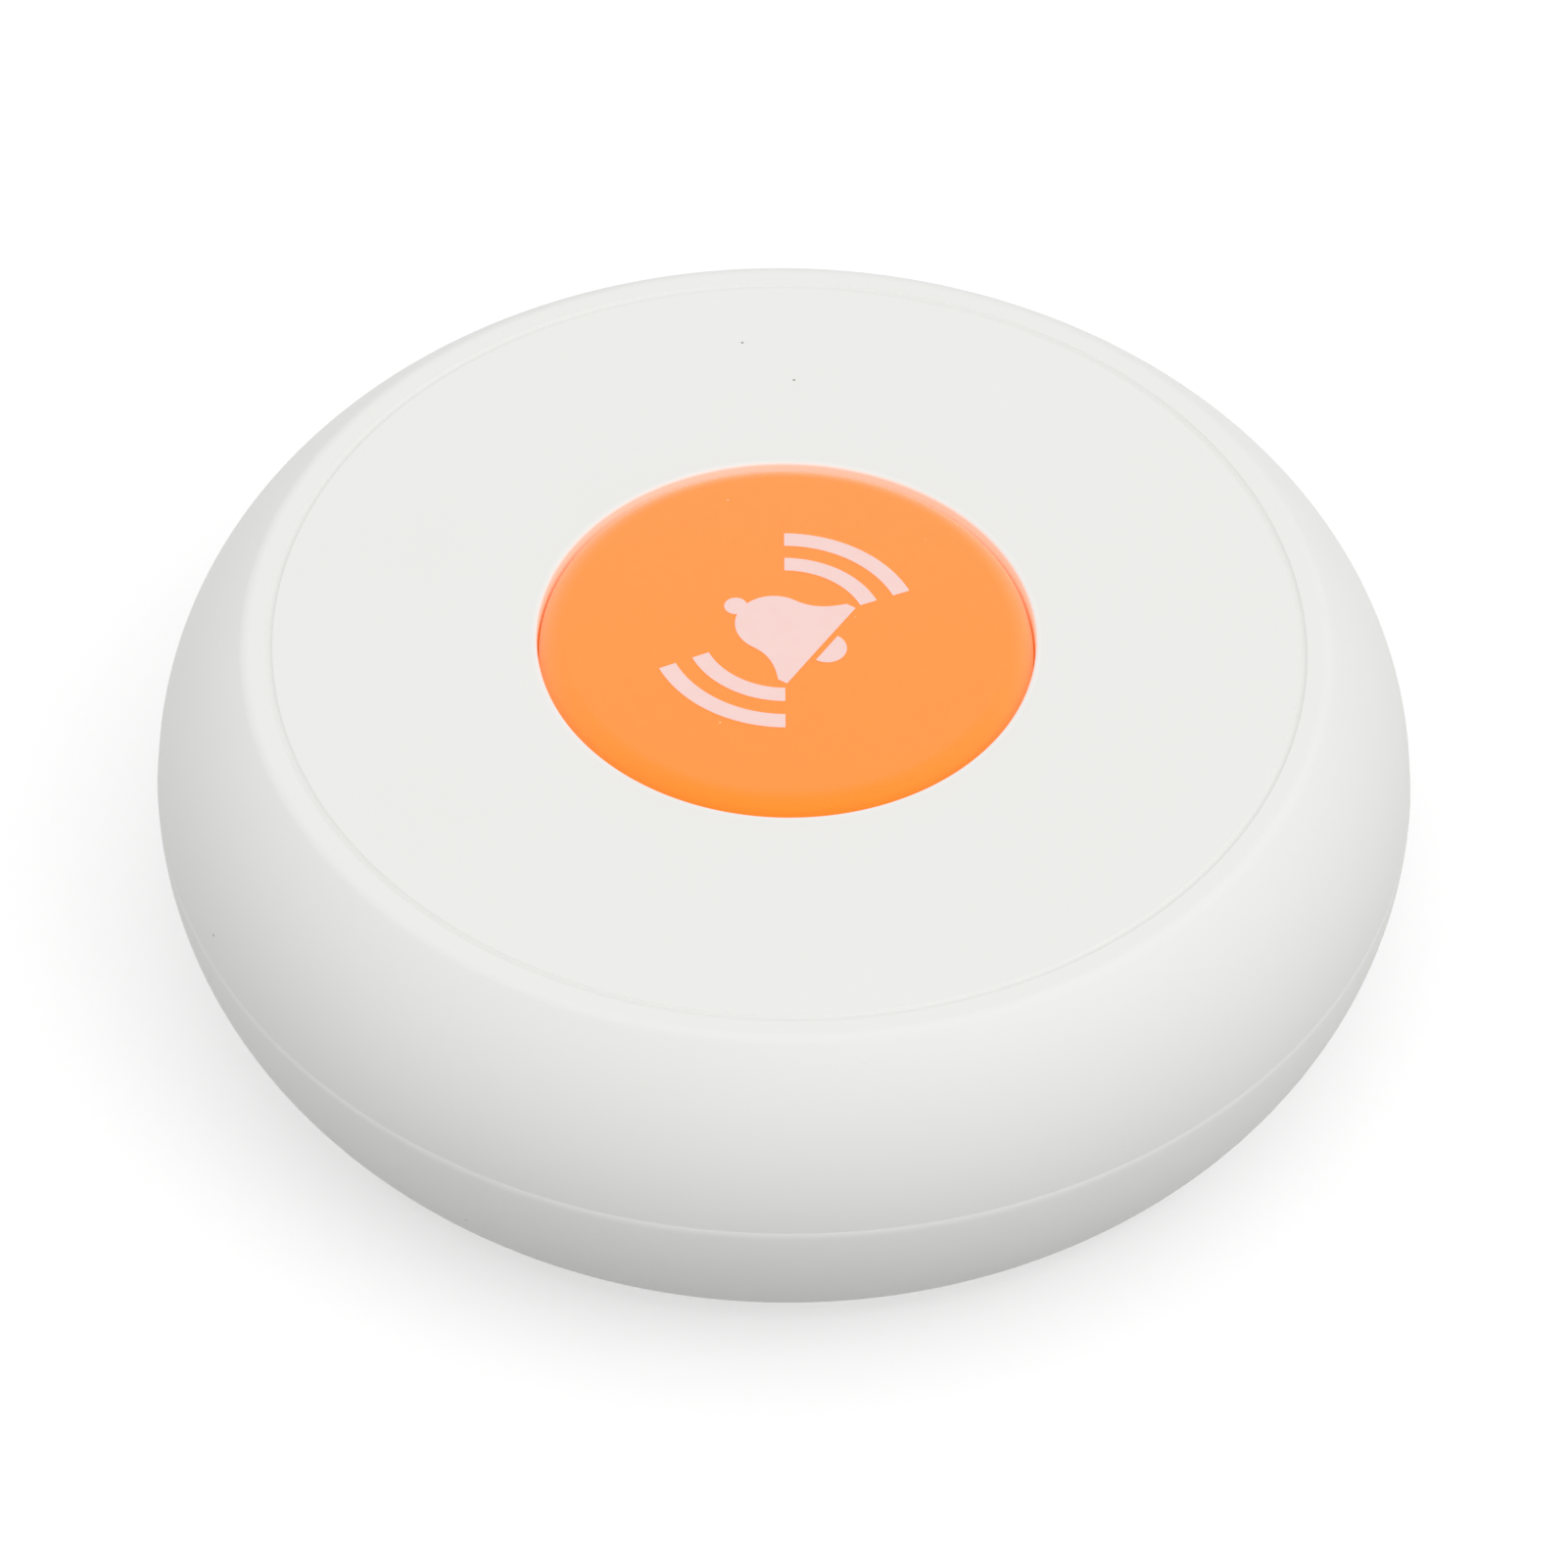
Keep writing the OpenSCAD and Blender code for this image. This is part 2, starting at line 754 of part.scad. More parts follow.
// Four bent legs, from the switch's sides down to the board
module switch_terminals() {
  side = switch_w / 2;
  knee = side + leg_out;
  toe = knee + leg_foot;
  color(bright_steel)
    translate([0, 0, board_top_z])
      around(2)
        for (y = [-leg_pitch / 2, leg_pitch / 2])
          translate([0, y + leg_w / 2, 0])
            rotate([90, 0, 0])
              linear_extrude(leg_w)
                polygon([
                  [side, leg_z], [knee, leg_z], [knee, 0], [toe, 0],
                  [toe, leg_t], [knee + leg_t, leg_t], [knee + leg_t, leg_z + leg_t], [side, leg_z + leg_t]
                ]);
}

module switch_dome() {
  r = (dome_r * dome_r + dome_h * dome_h) / (2 * dome_h);
  inner_r = r - dome_t;
  centre = [0, well_z + dome_h - r];
  low = asin((r - dome_h) / r);
  inner_low = asin((r - dome_h) / inner_r);
  color(bright_steel)
    translate([0, 0, board_top_z])
      rotate_extrude()
        polygon(concat(arc(centre, r, low, 90, 8), arc(centre, inner_r, 90, inner_low, 8)));
}

module switch_plunger() {
  bottom = well_z + dome_h + close;
  shoulder = switch_body_h - close;
  color(black_plastic)
    translate([0, 0, board_top_z]) {
      translate([0, 0, bottom])
        cylinder(r = plunger_flange_r, h = shoulder - bottom);
      translate([0, 0, shoulder - past])
        cylinder(r = stem_r, h = switch_h - shoulder + past);
    }
}

module radio_board() {
  color(board_green)
    translate([radio_at[0], radio_at[1], board_top_z])
      block(radio_size);
}

module radio_chip() {
  color(black_plastic)
    translate([radio_at[0], radio_at[1], board_top_z + radio_size[2]])
      block(radio_chip_size);
}

module radio_shield() {
  color(bright_steel)
    translate([radio_at[0], radio_at[1], board_top_z + radio_size[2]])
      difference() {
        block(shield_size);
        translate([0, 0, -past])
          block(shield_size - [2 * shield_t, 2 * shield_t, shield_t - past]);
      }
}

module antenna_coil() {
  lead = [
    for (i = [0:lead_rings - 1])
      [coil_x, lead_y + (coil_y - lead_y) * i / lead_rings, coil_z + coil_r]
  ];
  steps = coil_turns * rings_per_turn;
  turns = [
    for (i = [0:steps])
      let (a = 90 - 360 * i / rings_per_turn)
        [coil_x + coil_len * i / steps, coil_y + coil_r * cos(a), coil_z + coil_r * sin(a)]
  ];
  color(copper)
    wire(concat(lead, turns), wire_r);
}

module controller_chip() {
  color(black_plastic)
    translate([controller_at[0], controller_at[1], board_top_z])
      block(controller_size);
}

module crystal() {
  color(bright_steel)
    translate([crystal_at[0], crystal_at[1], board_top_z])
      block(crystal_size);
}

module status_light() {
  color(white_plastic)
    translate([light_at[0], light_at[1], board_top_z]) {
      block(light_size);
      cylinder(r = light_lens_r, h = light_size[2] + easy);
    }
}

// Row of equal chips along x at a given y
module chip_row(y, size) {
  for (i = [0:chip_count - 1])
    translate([(i - (chip_count - 1) / 2) * chip_pitch, y, board_top_z])
      block(size);
}

module chip_capacitors() {
  color("#b49a72")
    chip_row(capacitor_y, capacitor_size);
}

module chip_resistors() {
  color(black_plastic)
    chip_row(resistor_y, resistor_size);
}

module battery_holder() {
  color(black_plastic) {
    band(holder_inner_r, holder_inner_r + holder_t, holder_z, board_z,
      holder_mouth / 2, 360 - holder_mouth);
    around(2, 90)
      translate([peg_circle_r, 0, board_z - past])
        cylinder(r = peg_r, h = peg_h + past);
  }
}

// Spring leaf that stands against the side of the cell, with a foot on the board
module positive_contact() {
  inner = cell_r + close;
  outer = inner + leaf_t;
  color(bright_steel)
    translate([0, leaf_w / 2, 0])
      rotate([90, 0, 0])
        linear_extrude(leaf_w)
          polygon([
            [inner, board_z], [inner, holder_z + 2 * easy], [outer, holder_z + 2 * easy],
            [outer, board_z - leaf_t], [outer + leaf_foot, board_z - leaf_t], [outer + leaf_foot, board_z]
          ]);
}

// Strip on the board with a bump that meets the cell's lid
module negative_contact() {
  half = bridge_len / 2;
  flat = bump_len / 2;
  slope = flat + bump_slope;
  color(bright_steel)
    translate([0, bridge_w / 2, 0])
      rotate([90, 0, 0])
        linear_extrude(bridge_w)
          polygon([
            [-half, board_z], [-half, board_z - bridge_t], [-slope, board_z - bridge_t],
            [-flat, cell_top_z], [flat, cell_top_z], [slope, board_z - bridge_t],
            [half, board_z - bridge_t], [half, board_z], [slope, board_z],
            [flat, cell_top_z + bridge_t], [-flat, cell_top_z + bridge_t], [-slope, board_z]
          ]);
}

module cell_can() {
  color(bright_steel)
    translate([0, 0, cell_z])
      rotate_extrude()
        polygon([
          [0, 0], [cell_r - can_t, 0], [cell_r, can_t], [cell_r, can_h],
          [cell_r - crimp_reach, can_h], [cell_r - crimp_reach, can_h - can_t],
          [cell_r - can_t, can_h - can_t], [cell_r - can_t, can_t], [0, can_t]
        ]);
}

module cell_gasket() {
  outer = cell_r - can_t;
  neck = cell_r - crimp_reach;
  color(black_plastic)
    translate([0, 0, cell_z])
      rotate_extrude()
        polygon([
          [outer - seal_ring_t, can_t], [outer, can_t], [outer, can_h - can_t],
          [neck, can_h - can_t], [neck, can_h], [neck - past, can_h],
          [neck - past, can_h - 2 * can_t], [outer - seal_ring_t, can_h - 2 * can_t]
        ]);
}

module cell_lid() {
  outer = cell_r - can_t - seal_ring_t;
  neck = cell_r - crimp_reach - past;
  color(bright_steel)
    translate([0, 0, cell_z])
      rotate_extrude()
        polygon([
          [0, can_t], [outer, can_t], [outer, can_h - 2 * can_t], [neck, can_h - 2 * can_t],
          [neck, can_h], [neck - can_t, cell_h], [0, cell_h]
        ]);
}

module battery_door() {
  ring_inner_r = door_plug_r - door_ring_t;
  color(white_plastic)
    difference() {
      union() {
        rotate_extrude()
          polygon([
            [0, door_z], [door_r - door_bevel, door_z], [door_r, door_z + door_bevel],
            [door_r, door_flange_z], [door_plug_r, door_flange_z], [door_plug_r, door_lug_top_z],
            [ring_inner_r, door_lug_top_z], [ring_inner_r, door_plate_z], [0, door_plate_z]
          ]);
        around(door_lug_count, first_door_lug_angle)
          band(door_plug_r - door_ring_t / 2, door_lug_r, door_lug_z, door_lug_top_z,
            -door_lug_angle / 2, door_lug_angle);
        band(door_rib_r, door_rib_r + door_rib_t, door_plate_z - past, door_rib_z);
      }
      coin_slot();
      band(door_seal_r - door_groove_w / 2, door_seal_r + door_groove_w / 2,
        door_flange_z - door_groove_depth, door_flange_z + past);
      rotate(mark_angle)
        translate([door_mark_circle_r, 0, door_z - past])
          cylinder(r = mark_r, h = mark_depth + past);
    }
}

// Straight slot with round ends in the face of the door
module coin_slot() {
  run = coin_slot_l - coin_slot_w;
  translate([0, 0, door_z - past]) {
    block([run, coin_slot_w, coin_slot_depth + past]);
    for (x = [-run / 2, run / 2])
      translate([x, 0, 0])
        cylinder(d = coin_slot_w, h = coin_slot_depth + past);
  }
}

module door_seal() {
  color(dark_rubber)
    rotate_extrude()
      translate([door_seal_r, door_flange_z - door_groove_depth + door_seal_d / 2])
        circle(d = door_seal_d - 0.02, $fn = 32);
}

top_cover();
base_cover();
case_gasket();
case_screws();
rubber_feet();
button_cap();
seal_membrane();
inner_frame();
circuit_board();
board_screws();
switch_body();
switch_plate();
switch_terminals();
switch_dome();
switch_plunger();
radio_board();
radio_chip();
radio_shield();
antenna_coil();
controller_chip();
crystal();
status_light();
chip_capacitors();
chip_resistors();
battery_holder();
positive_contact();
negative_contact();
cell_can();
cell_gasket();
cell_lid();
battery_door();
door_seal();
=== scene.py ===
# %% [markdown]
# # A round call button
# The object is a white puck, 60 mm across, with one orange push button in the middle of its flat
# top. The measured solids come from the CAD model and are loaded as a fixed frame. This lesson
# models the surfaces that are seen as smooth turned pieces, gives every part its material, and
# lights it like a small product on a pale table.

# %% Load the frame
import json
import math

import bpy
import bmesh
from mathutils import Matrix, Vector


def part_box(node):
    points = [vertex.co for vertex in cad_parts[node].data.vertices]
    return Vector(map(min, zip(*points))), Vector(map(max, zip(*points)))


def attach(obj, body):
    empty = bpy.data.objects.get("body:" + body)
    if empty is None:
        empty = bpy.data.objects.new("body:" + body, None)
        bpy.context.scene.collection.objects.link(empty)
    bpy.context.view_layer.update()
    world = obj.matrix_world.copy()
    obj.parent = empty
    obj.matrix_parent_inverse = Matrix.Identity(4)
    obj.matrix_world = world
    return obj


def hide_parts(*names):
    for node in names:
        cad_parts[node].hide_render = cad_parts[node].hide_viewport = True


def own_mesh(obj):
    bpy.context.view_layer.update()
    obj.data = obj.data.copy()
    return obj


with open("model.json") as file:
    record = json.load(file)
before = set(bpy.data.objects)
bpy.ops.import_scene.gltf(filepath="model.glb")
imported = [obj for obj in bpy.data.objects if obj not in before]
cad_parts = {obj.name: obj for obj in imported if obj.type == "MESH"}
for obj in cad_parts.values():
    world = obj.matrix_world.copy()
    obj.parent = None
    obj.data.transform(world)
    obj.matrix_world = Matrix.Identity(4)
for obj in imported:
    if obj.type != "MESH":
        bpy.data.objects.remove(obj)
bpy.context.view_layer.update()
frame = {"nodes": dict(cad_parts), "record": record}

# %% [markdown]
# ## Sizes
# Blender works in metres and this object is small, so sizes are written in millimetres and turned
# to metres at the last moment. The names are those that a maker would use for the parts of the
# puck. Heights count from the table that the feet stand on.

# %% Sizes in millimetres
MM = 0.001
SIDES = 256           # steps round a turned piece that is seen
INNER_SIDES = 96      # steps round a small or hidden piece
MERGE = 1e-6          # points closer than this, in metres, are one point

body_r, body_h = 30.0, 19.0
bulge_z = body_h - 8.6        # where the puck is widest
upper_side_r, lower_side_r = 10.7, 12.5
joint_z, joint_step = bulge_z + 0.15, 0.05    # at the joint the upper shell stands back a little
upper_centre = (body_r - joint_step - upper_side_r, bulge_z)
lower_centre = (body_r - lower_side_r, bulge_z)
rim_round, base_round = 0.9, 0.8
base_z, floor_z, ceiling_z = 0.6, 3.0, 17.0
wall = 2.0

cap_r, cap_round, crown_r, crown_z = 11.7, 1.3, 360.0, body_h + 0.45
opening_r, opening_round = cap_r + 0.08, 0.15
collar_r = opening_r + 2.5
seat_z, collar_z = 12.6, 13.6
frame_z, board_top_z = 11.2, 8.4
lug_z, lug_top_z, lug_r = 14.6, 15.4, cap_r + 0.9
cap_face_z, pad_z, pad_top_z = crown_z - 2.0, 12.7, 14.0

foot_r = 3.5
screw_circle_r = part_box("rubber_feet")[1].x / MM
screw_circle_r = (screw_circle_r - foot_r) * math.sqrt(2)
screw_angles = [45, 135, 225, 315]
three_ways = [0, 120, 240]    # the lugs of the cap and of the door stand three to a turn
print("feet and screws on a circle of radius", round(screw_circle_r, 3), "mm")

# %% [markdown]
# ## Helpers for modelling by hand
# An operator acts on everything that is selected, so each piece starts from an empty selection.
# Nearly every piece here is round, so the main tool is a lathe: one point is drawn along the
# outline with Extrude, and Spin turns that line about the Z axis. A mesh could also be typed in
# as lists of points and faces, but an outline and a spin are easier to read and to change.

# %% Select one object and nothing else
def take(piece):
    if bpy.context.object and bpy.context.object.mode != "OBJECT":
        bpy.ops.object.mode_set(mode="OBJECT")
    bpy.ops.object.select_all(action="DESELECT")
    if piece:
        piece.select_set(True)
        bpy.context.view_layer.objects.active = piece


# %% Points along an arc, angles in degrees from the horizontal
def arc(centre, radius, start, end, steps):
    turns = [math.radians(start + (end - start) * i / steps) for i in range(steps + 1)]
    return [(centre[0] + radius * math.cos(a), centre[1] + radius * math.sin(a)) for a in turns]


# %% Centre of a rounding between a level line and the inside of a side's curve
def rounding_centre(centre, radius, rise, rounding):
    level = abs(rise) - rounding
    reach = math.sqrt((radius - rounding) ** 2 - level ** 2)
    return (centre[0] + reach, centre[1] + math.copysign(level, rise))


def angle_from(a, b):
    return math.degrees(math.atan2(b[1] - a[1], b[0] - a[0]))


# %% Outline of a plain round rod
def rod(low, high, radius):
    return [(0, low), (radius, low), (radius, high), (0, high)]


# %% The lathe: draw an outline point by point, then spin it
def turn(name, outline, sides=SIDES):
    take(None)
    bpy.ops.mesh.primitive_plane_add(size=MM)
    piece = bpy.context.object
    piece.name = piece.data.name = name
    bpy.ops.object.mode_set(mode="EDIT")
    bpy.ops.mesh.select_mode(type="VERT")
    bpy.ops.mesh.select_all(action="SELECT")
    bpy.ops.mesh.merge(type="CENTER")
    bpy.ops.transform.translate(value=(outline[0][0] * MM, 0, outline[0][1] * MM))
    pen = outline[0]
    for point in outline[1:]:
        step = ((point[0] - pen[0]) * MM, 0, (point[1] - pen[1]) * MM)
        bpy.ops.mesh.extrude_vertices_move(TRANSFORM_OT_translate={"value": step})
        pen = point
    bpy.ops.mesh.select_all(action="SELECT")
    bpy.ops.mesh.spin(steps=sides, angle=math.tau, center=(0, 0, 0), axis=(0, 0, 1))
    return tidy(piece)


# %% Merge doubles, point the faces outwards and leave edit mode
def tidy(piece):
    take(piece)
    bpy.ops.object.mode_set(mode="EDIT")
    bpy.ops.mesh.select_all(action="SELECT")
    bpy.ops.mesh.remove_doubles(threshold=MERGE)
    bpy.ops.mesh.dissolve_degenerate(threshold=MERGE)
    bpy.ops.mesh.delete_loose()
    bpy.ops.mesh.select_all(action="SELECT")
    bpy.ops.mesh.normals_make_consistent(inside=False)
    bpy.ops.object.mode_set(mode="OBJECT")
    return piece


# %% A block that follows the axis: a rectangle spun through part of a turn
def sector(name, inner, outer, low, high, middle, sweep, steps=12):
    take(None)
    bpy.ops.mesh.primitive_plane_add(size=1)
    piece = bpy.context.object
    piece.name = name
    piece.scale = ((outer - inner) * MM, (high - low) * MM, 1)
    piece.rotation_euler = (math.pi / 2, 0, 0)
    piece.location = ((inner + outer) / 2 * MM, 0, (low + high) / 2 * MM)
    bpy.ops.object.transform_apply(location=True, rotation=True, scale=True)
    bpy.ops.object.mode_set(mode="EDIT")
    bpy.ops.mesh.select_all(action="SELECT")
    bpy.ops.mesh.spin(
        steps=steps, angle=math.radians(sweep), center=(0, 0, 0), axis=(0, 0, 1))
    bpy.ops.object.mode_set(mode="OBJECT")
    first = middle_of(piece)
    piece.rotation_euler = (0, 0, math.radians(middle) - first)
    bpy.ops.object.transform_apply(rotation=True)
    return tidy(piece)


def middle_of(piece):
    points = [v.co for v in piece.data.vertices]
    return math.atan2(sum(p.y for p in points), sum(p.x for p in points))


# %% Copies at given angles, joined into one mesh
def copies(piece, angles, out=0.0):
    made = []
    for angle in angles:
        take(piece)
        bpy.ops.object.duplicate()
        copy = bpy.context.object
        a = math.radians(angle)
        copy.location = (out * MM * math.cos(a), out * MM * math.sin(a), 0)
        copy.rotation_euler = (0, 0, a)
        bpy.ops.object.transform_apply(location=True, rotation=True)
        made.append(copy)
    bpy.data.objects.remove(piece)
    return join(made)


def join(pieces):
    take(pieces[0])
    for piece in pieces[1:]:
        piece.select_set(True)
    if len(pieces) > 1:
        bpy.ops.object.join()
    return pieces[0]


# %% Cut one mesh with another, or add it
def combine(piece, tool, operation):
    take(piece)
    change = piece.modifiers.new("combine", "BOOLEAN")
    change.operation = operation
    change.solver = "EXACT"
    change.object = tool
    bpy.ops.object.modifier_apply(modifier=change.name)
    bpy.data.objects.remove(tool)
    return piece


# %% Smooth shading that keeps edges sharper than a limit, and a report of what was made
def polish(piece, sharp=32):
    tidy(piece)
    bpy.ops.object.shade_smooth_by_angle(angle=math.radians(sharp))
    mesh = bmesh.new()
    mesh.from_mesh(piece.data)
    open_edges = sum(not e.is_manifold for e in mesh.edges)
    mesh.free()
    low = [round(min(v.co[i] for v in piece.data.vertices) / MM, 2) for i in range(3)]
    high = [round(max(v.co[i] for v in piece.data.vertices) / MM, 2) for i in range(3)]
    print(piece.name, len(piece.data.polygons), "faces,", open_edges, "open edges,", low, high)
    return piece


# %% Dress a piece: its material, the body it rides on and the CAD nodes it stands for
def dress(piece, body, material, slot, *nodes):
    piece.data.materials.clear()
    piece.data.materials.append(material)
    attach(piece, body)
    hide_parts(*nodes)


# %% [markdown]
# ## Camera
# The photograph looks down at about 45 degrees through a long lens, so the round top shows as a
# calm ellipse with very little perspective. The lens, the distance and the slight roll were worked
# out from the outline of the puck, the ring groove and the edge of the button.

# %% Camera
CAMERA_DISTANCE = 391.0       # from the middle of the top face
CAMERA_HEIGHT_ANGLE = 44.963
CAMERA_PITCH = 45.986         # below the horizon
CAMERA_ROLL = 0.956
CAMERA_LENS, SENSOR = 190.16, 36
rise = math.radians(CAMERA_HEIGHT_ANGLE)
take(None)
bpy.ops.object.camera_add()
camera = bpy.context.object
camera.location = (
    0, -CAMERA_DISTANCE * math.cos(rise) * MM,
    (body_h + CAMERA_DISTANCE * math.sin(rise)) * MM)
camera.rotation_mode = "ZYX"
camera.rotation_euler = (math.radians(90 - CAMERA_PITCH), 0, math.radians(CAMERA_ROLL))
camera.data.lens = CAMERA_LENS
camera.data.sensor_width = SENSOR
camera.data.clip_start = 0.01
camera.data.clip_end = 20
bpy.context.scene.camera = camera
print("camera at", [round(x, 4) for x in camera.location])

# %% [markdown]
# ## Colours and nodes
# Colours are picked as sRGB hex values, as on a colour card, and the shader wants linear light, so
# one function turns one into the other. A second small function adds a node, sets its properties,
# and sets or links its inputs, so that each material reads as a short recipe.

# %% From sRGB hex to linear colour
def colour(hex_value):
    parts = [int(hex_value[i:i + 2], 16) / 255 for i in (1, 3, 5)]
    linear = [c / 12.92 if c <= 0.04045 else ((c + 0.055) / 1.055) ** 2.4 for c in parts]
    return (*linear, 1.0)


# %% Add a node
def node(tree, kind, inputs=None, **settings):
    made = tree.nodes.new(kind)
    for key, value in settings.items():
        setattr(made, key, value)
    for key, value in (inputs or {}).items():
        if isinstance(value, bpy.types.NodeSocket):
            tree.links.new(value, made.inputs[key])
        else:
            made.inputs[key].default_value = value
    return made


# %% [markdown]
# ## Light, floor and background
# The photograph is a product shot in a bright tent: light comes from all of the sky, a little more
# from the front and the right, and the table gives back about a fifth of it from below. A sky whose
# brightness grows slowly along one direction does the same, and one soft lamp adds shape. For the
# camera and for reflections the background is plain white at strength 1.
#
# The floor is pale to the camera and keeps the soft shadow under the puck, but it looks grey to the
# puck, so that the lower half of the side turns as dark as in the photograph. Right by the base, a
# painted shadow makes the floor's white darker to the camera. Two things let the underside be
# looked at as well. Rays that come from below pass through the floor, and so do the short rays
# between the flat of the base and the floor, so that light from below reaches the base.

# %% World: the light of the tent
SKY, SKY_SLOPE = 1.0, (0.10, -0.16, -0.10)    # level, and how it grows along x, y and z
BELOW, FADE = 0.8, 0.12       # the light from below, and how far under the horizon it begins
world = bpy.data.worlds.new("light tent")
world.use_nodes = True
bpy.context.scene.world = world
tree = world.node_tree
tree.nodes.clear()
way = node(tree, "ShaderNodeTexCoord").outputs["Generated"]
height = node(tree, "ShaderNodeSeparateXYZ", {"Vector": way})
grown = node(tree, "ShaderNodeVectorMath", {0: way, 1: SKY_SLOPE}, operation="DOT_PRODUCT")
above = node(tree, "ShaderNodeMath", {0: grown.outputs["Value"], 1: SKY}, operation="ADD")
both = node(tree, "ShaderNodeMapRange", {
    "Value": height.outputs["Z"], "From Min": -FADE, "From Max": 0.0,
    "To Min": BELOW, "To Max": above.outputs[0]})
light_sky = node(tree, "ShaderNodeBackground", {
    "Color": (1, 1, 1, 1), "Strength": both.outputs["Result"]})
print("sky: level", SKY, "growing by", SKY_SLOPE, "and from below", BELOW)

# %% World: plain white for the camera and for reflections
seen_sky = node(tree, "ShaderNodeBackground", {"Color": (1, 1, 1, 1), "Strength": 1.0})
path = node(tree, "ShaderNodeLightPath")
seen = node(tree, "ShaderNodeMath", {
    0: path.outputs["Is Camera Ray"], 1: path.outputs["Is Glossy Ray"]}, operation="MAXIMUM")
seen = node(tree, "ShaderNodeMath", {
    0: seen.outputs[0], 1: path.outputs["Is Transmission Ray"]}, operation="MAXIMUM")
sky = node(tree, "ShaderNodeMixShader", {
    0: seen.outputs[0], 1: light_sky.outputs[0], 2: seen_sky.outputs[0]})
node(tree, "ShaderNodeOutputWorld", {"Surface": sky.outputs[0]})
print("world:", world.name)

# %% Soft lamp, front right
LAMP_AT = Vector((0.55, -0.35, 0.75))
LAMP_WATTS, LAMP_SIZE = 0.9, 0.6
take(None)
bpy.ops.object.light_add(type="AREA", location=LAMP_AT)
lamp = bpy.context.object
lamp.name = "soft_lamp"
lamp.data.shape = "DISK"
lamp.data.size = LAMP_SIZE
lamp.data.energy = LAMP_WATTS
lamp.rotation_euler = (-LAMP_AT).to_track_quat("-Z", "Y").to_euler()
bpy.context.scene.view_settings.view_transform = "Standard"
print("lamp of", LAMP_WATTS, "W at", [round(x, 2) for x in LAMP_AT])

# %% Floor
TABLE_SIZE = 6        # in metres
take(None)
bpy.ops.mesh.primitive_plane_add(size=TABLE_SIZE)
floor = bpy.context.object
floor.name = "table_top"
pale = bpy.data.materials.new("pale table top")
pale.use_nodes = True
tree = pale.node_tree
tree.nodes.clear()
print("floor:", TABLE_SIZE, "m wide")

# %% Where the floor is clear: under the base for short rays, and for all that come from below
UNDER_R, BLUR = 25.0, 0.4     # the flat of the base, and how softly the clear part ends, in mm
NEAR, FAR = 1.5, 4.0          # a ray is short up to the first and long from the second, in mm
place = node(tree, "ShaderNodeTexCoord").outputs["Object"]
out = node(tree, "ShaderNodeVectorMath", {0: place}, operation="LENGTH")
beyond = node(tree, "ShaderNodeMapRange", {
    "Value": out.outputs["Value"], "From Min": (UNDER_R - BLUR) * MM,
    "From Max": (UNDER_R + BLUR) * MM})
path = node(tree, "ShaderNodeLightPath")
distant = node(tree, "ShaderNodeMapRange", {
    "Value": path.outputs["Ray Length"], "From Min": NEAR * MM, "From Max": FAR * MM})
solid = node(tree, "ShaderNodeMath", {
    0: beyond.outputs[0], 1: distant.outputs[0]}, operation="MAXIMUM")
side = node(tree, "ShaderNodeNewGeometry")
solid = node(tree, "ShaderNodeMath", {
    0: solid.outputs[0], 1: side.outputs["Backfacing"]}, operation="SUBTRACT", use_clamp=True)
print("floor: clear to short rays within", UNDER_R, "mm")

# %% How bright the floor looks to the camera and to the puck
TABLE_SHADE = "#828282"       # its shade for the puck
WHITE, LIFT = 0.65, 0.45      # its white for the camera, and the glow that pales its shadow
# painted shadow: right by the base the floor's white for the camera is darker, and it fades out
# over a short way
PAINTED_CONTACT_SHADE, PAINTED_CONTACT_W = 0.5, 1.2     # its white right by the base, and how far that reaches, in mm
seen = node(tree, "ShaderNodeMath", {
    0: path.outputs["Is Camera Ray"], 1: path.outputs["Is Glossy Ray"]}, operation="MAXIMUM")
# the camera's white, with the painted shadow by the base
bright = node(tree, "ShaderNodeMapRange", {
    "Value": out.outputs["Value"], "From Min": UNDER_R * MM,
    "From Max": (UNDER_R + PAINTED_CONTACT_W) * MM, "To Min": PAINTED_CONTACT_SHADE, "To Max": WHITE})
shade = node(tree, "ShaderNodeMix", {
    0: seen.outputs[0], 6: colour(TABLE_SHADE), 7: bright.outputs[0]}, data_type="RGBA")
lift = node(tree, "ShaderNodeMath", {0: seen.outputs[0], 1: LIFT}, operation="MULTIPLY")
matt = node(tree, "ShaderNodeBsdfDiffuse", {"Color": shade.outputs[2]})
lift = node(tree, "ShaderNodeEmission", {"Color": (1, 1, 1, 1), "Strength": lift.outputs[0]})
white = node(tree, "ShaderNodeAddShader", {0: matt.outputs[0], 1: lift.outputs[0]})
clear = node(tree, "ShaderNodeBsdfTransparent")
top = node(tree, "ShaderNodeMixShader", {
    0: solid.outputs[0], 1: clear.outputs[0], 2: white.outputs[0]})
node(tree, "ShaderNodeOutputMaterial", {"Surface": top.outputs[0]})
floor.data.materials.append(pale)
print("stage: table top and soft lamp")

# %% [markdown]
# ## Materials
# Each recipe starts from what the real material is and how its surface was made. Patterns read
# Object coordinates in metres, so a noise scale is one over the grain size. A grain too fine for
# the picture is drawn a little coarser, and the comment says so.

# %% Start a material
def recipe(name, **sockets):
    made = bpy.data.materials.new(name)
    made.use_nodes = True
    tree = made.node_tree
    tree.nodes.clear()
    shader = node(tree, "ShaderNodeBsdfPrincipled")
    for key, value in sockets.items():
        shader.inputs[key.replace("_", " ")].default_value = value
    node(tree, "ShaderNodeOutputMaterial", {"Surface": shader.outputs[0]})
    place = node(tree, "ShaderNodeTexCoord").outputs["Object"]
    print("material:", name)
    return made, tree, shader, place


def per_mm(size):
    return 1.0 / (size * MM)


# %% Two tones, a range of gloss and a grain
NOISE_LOW, NOISE_HIGH = 0.3, 0.7      # a Noise texture seldom leaves this range


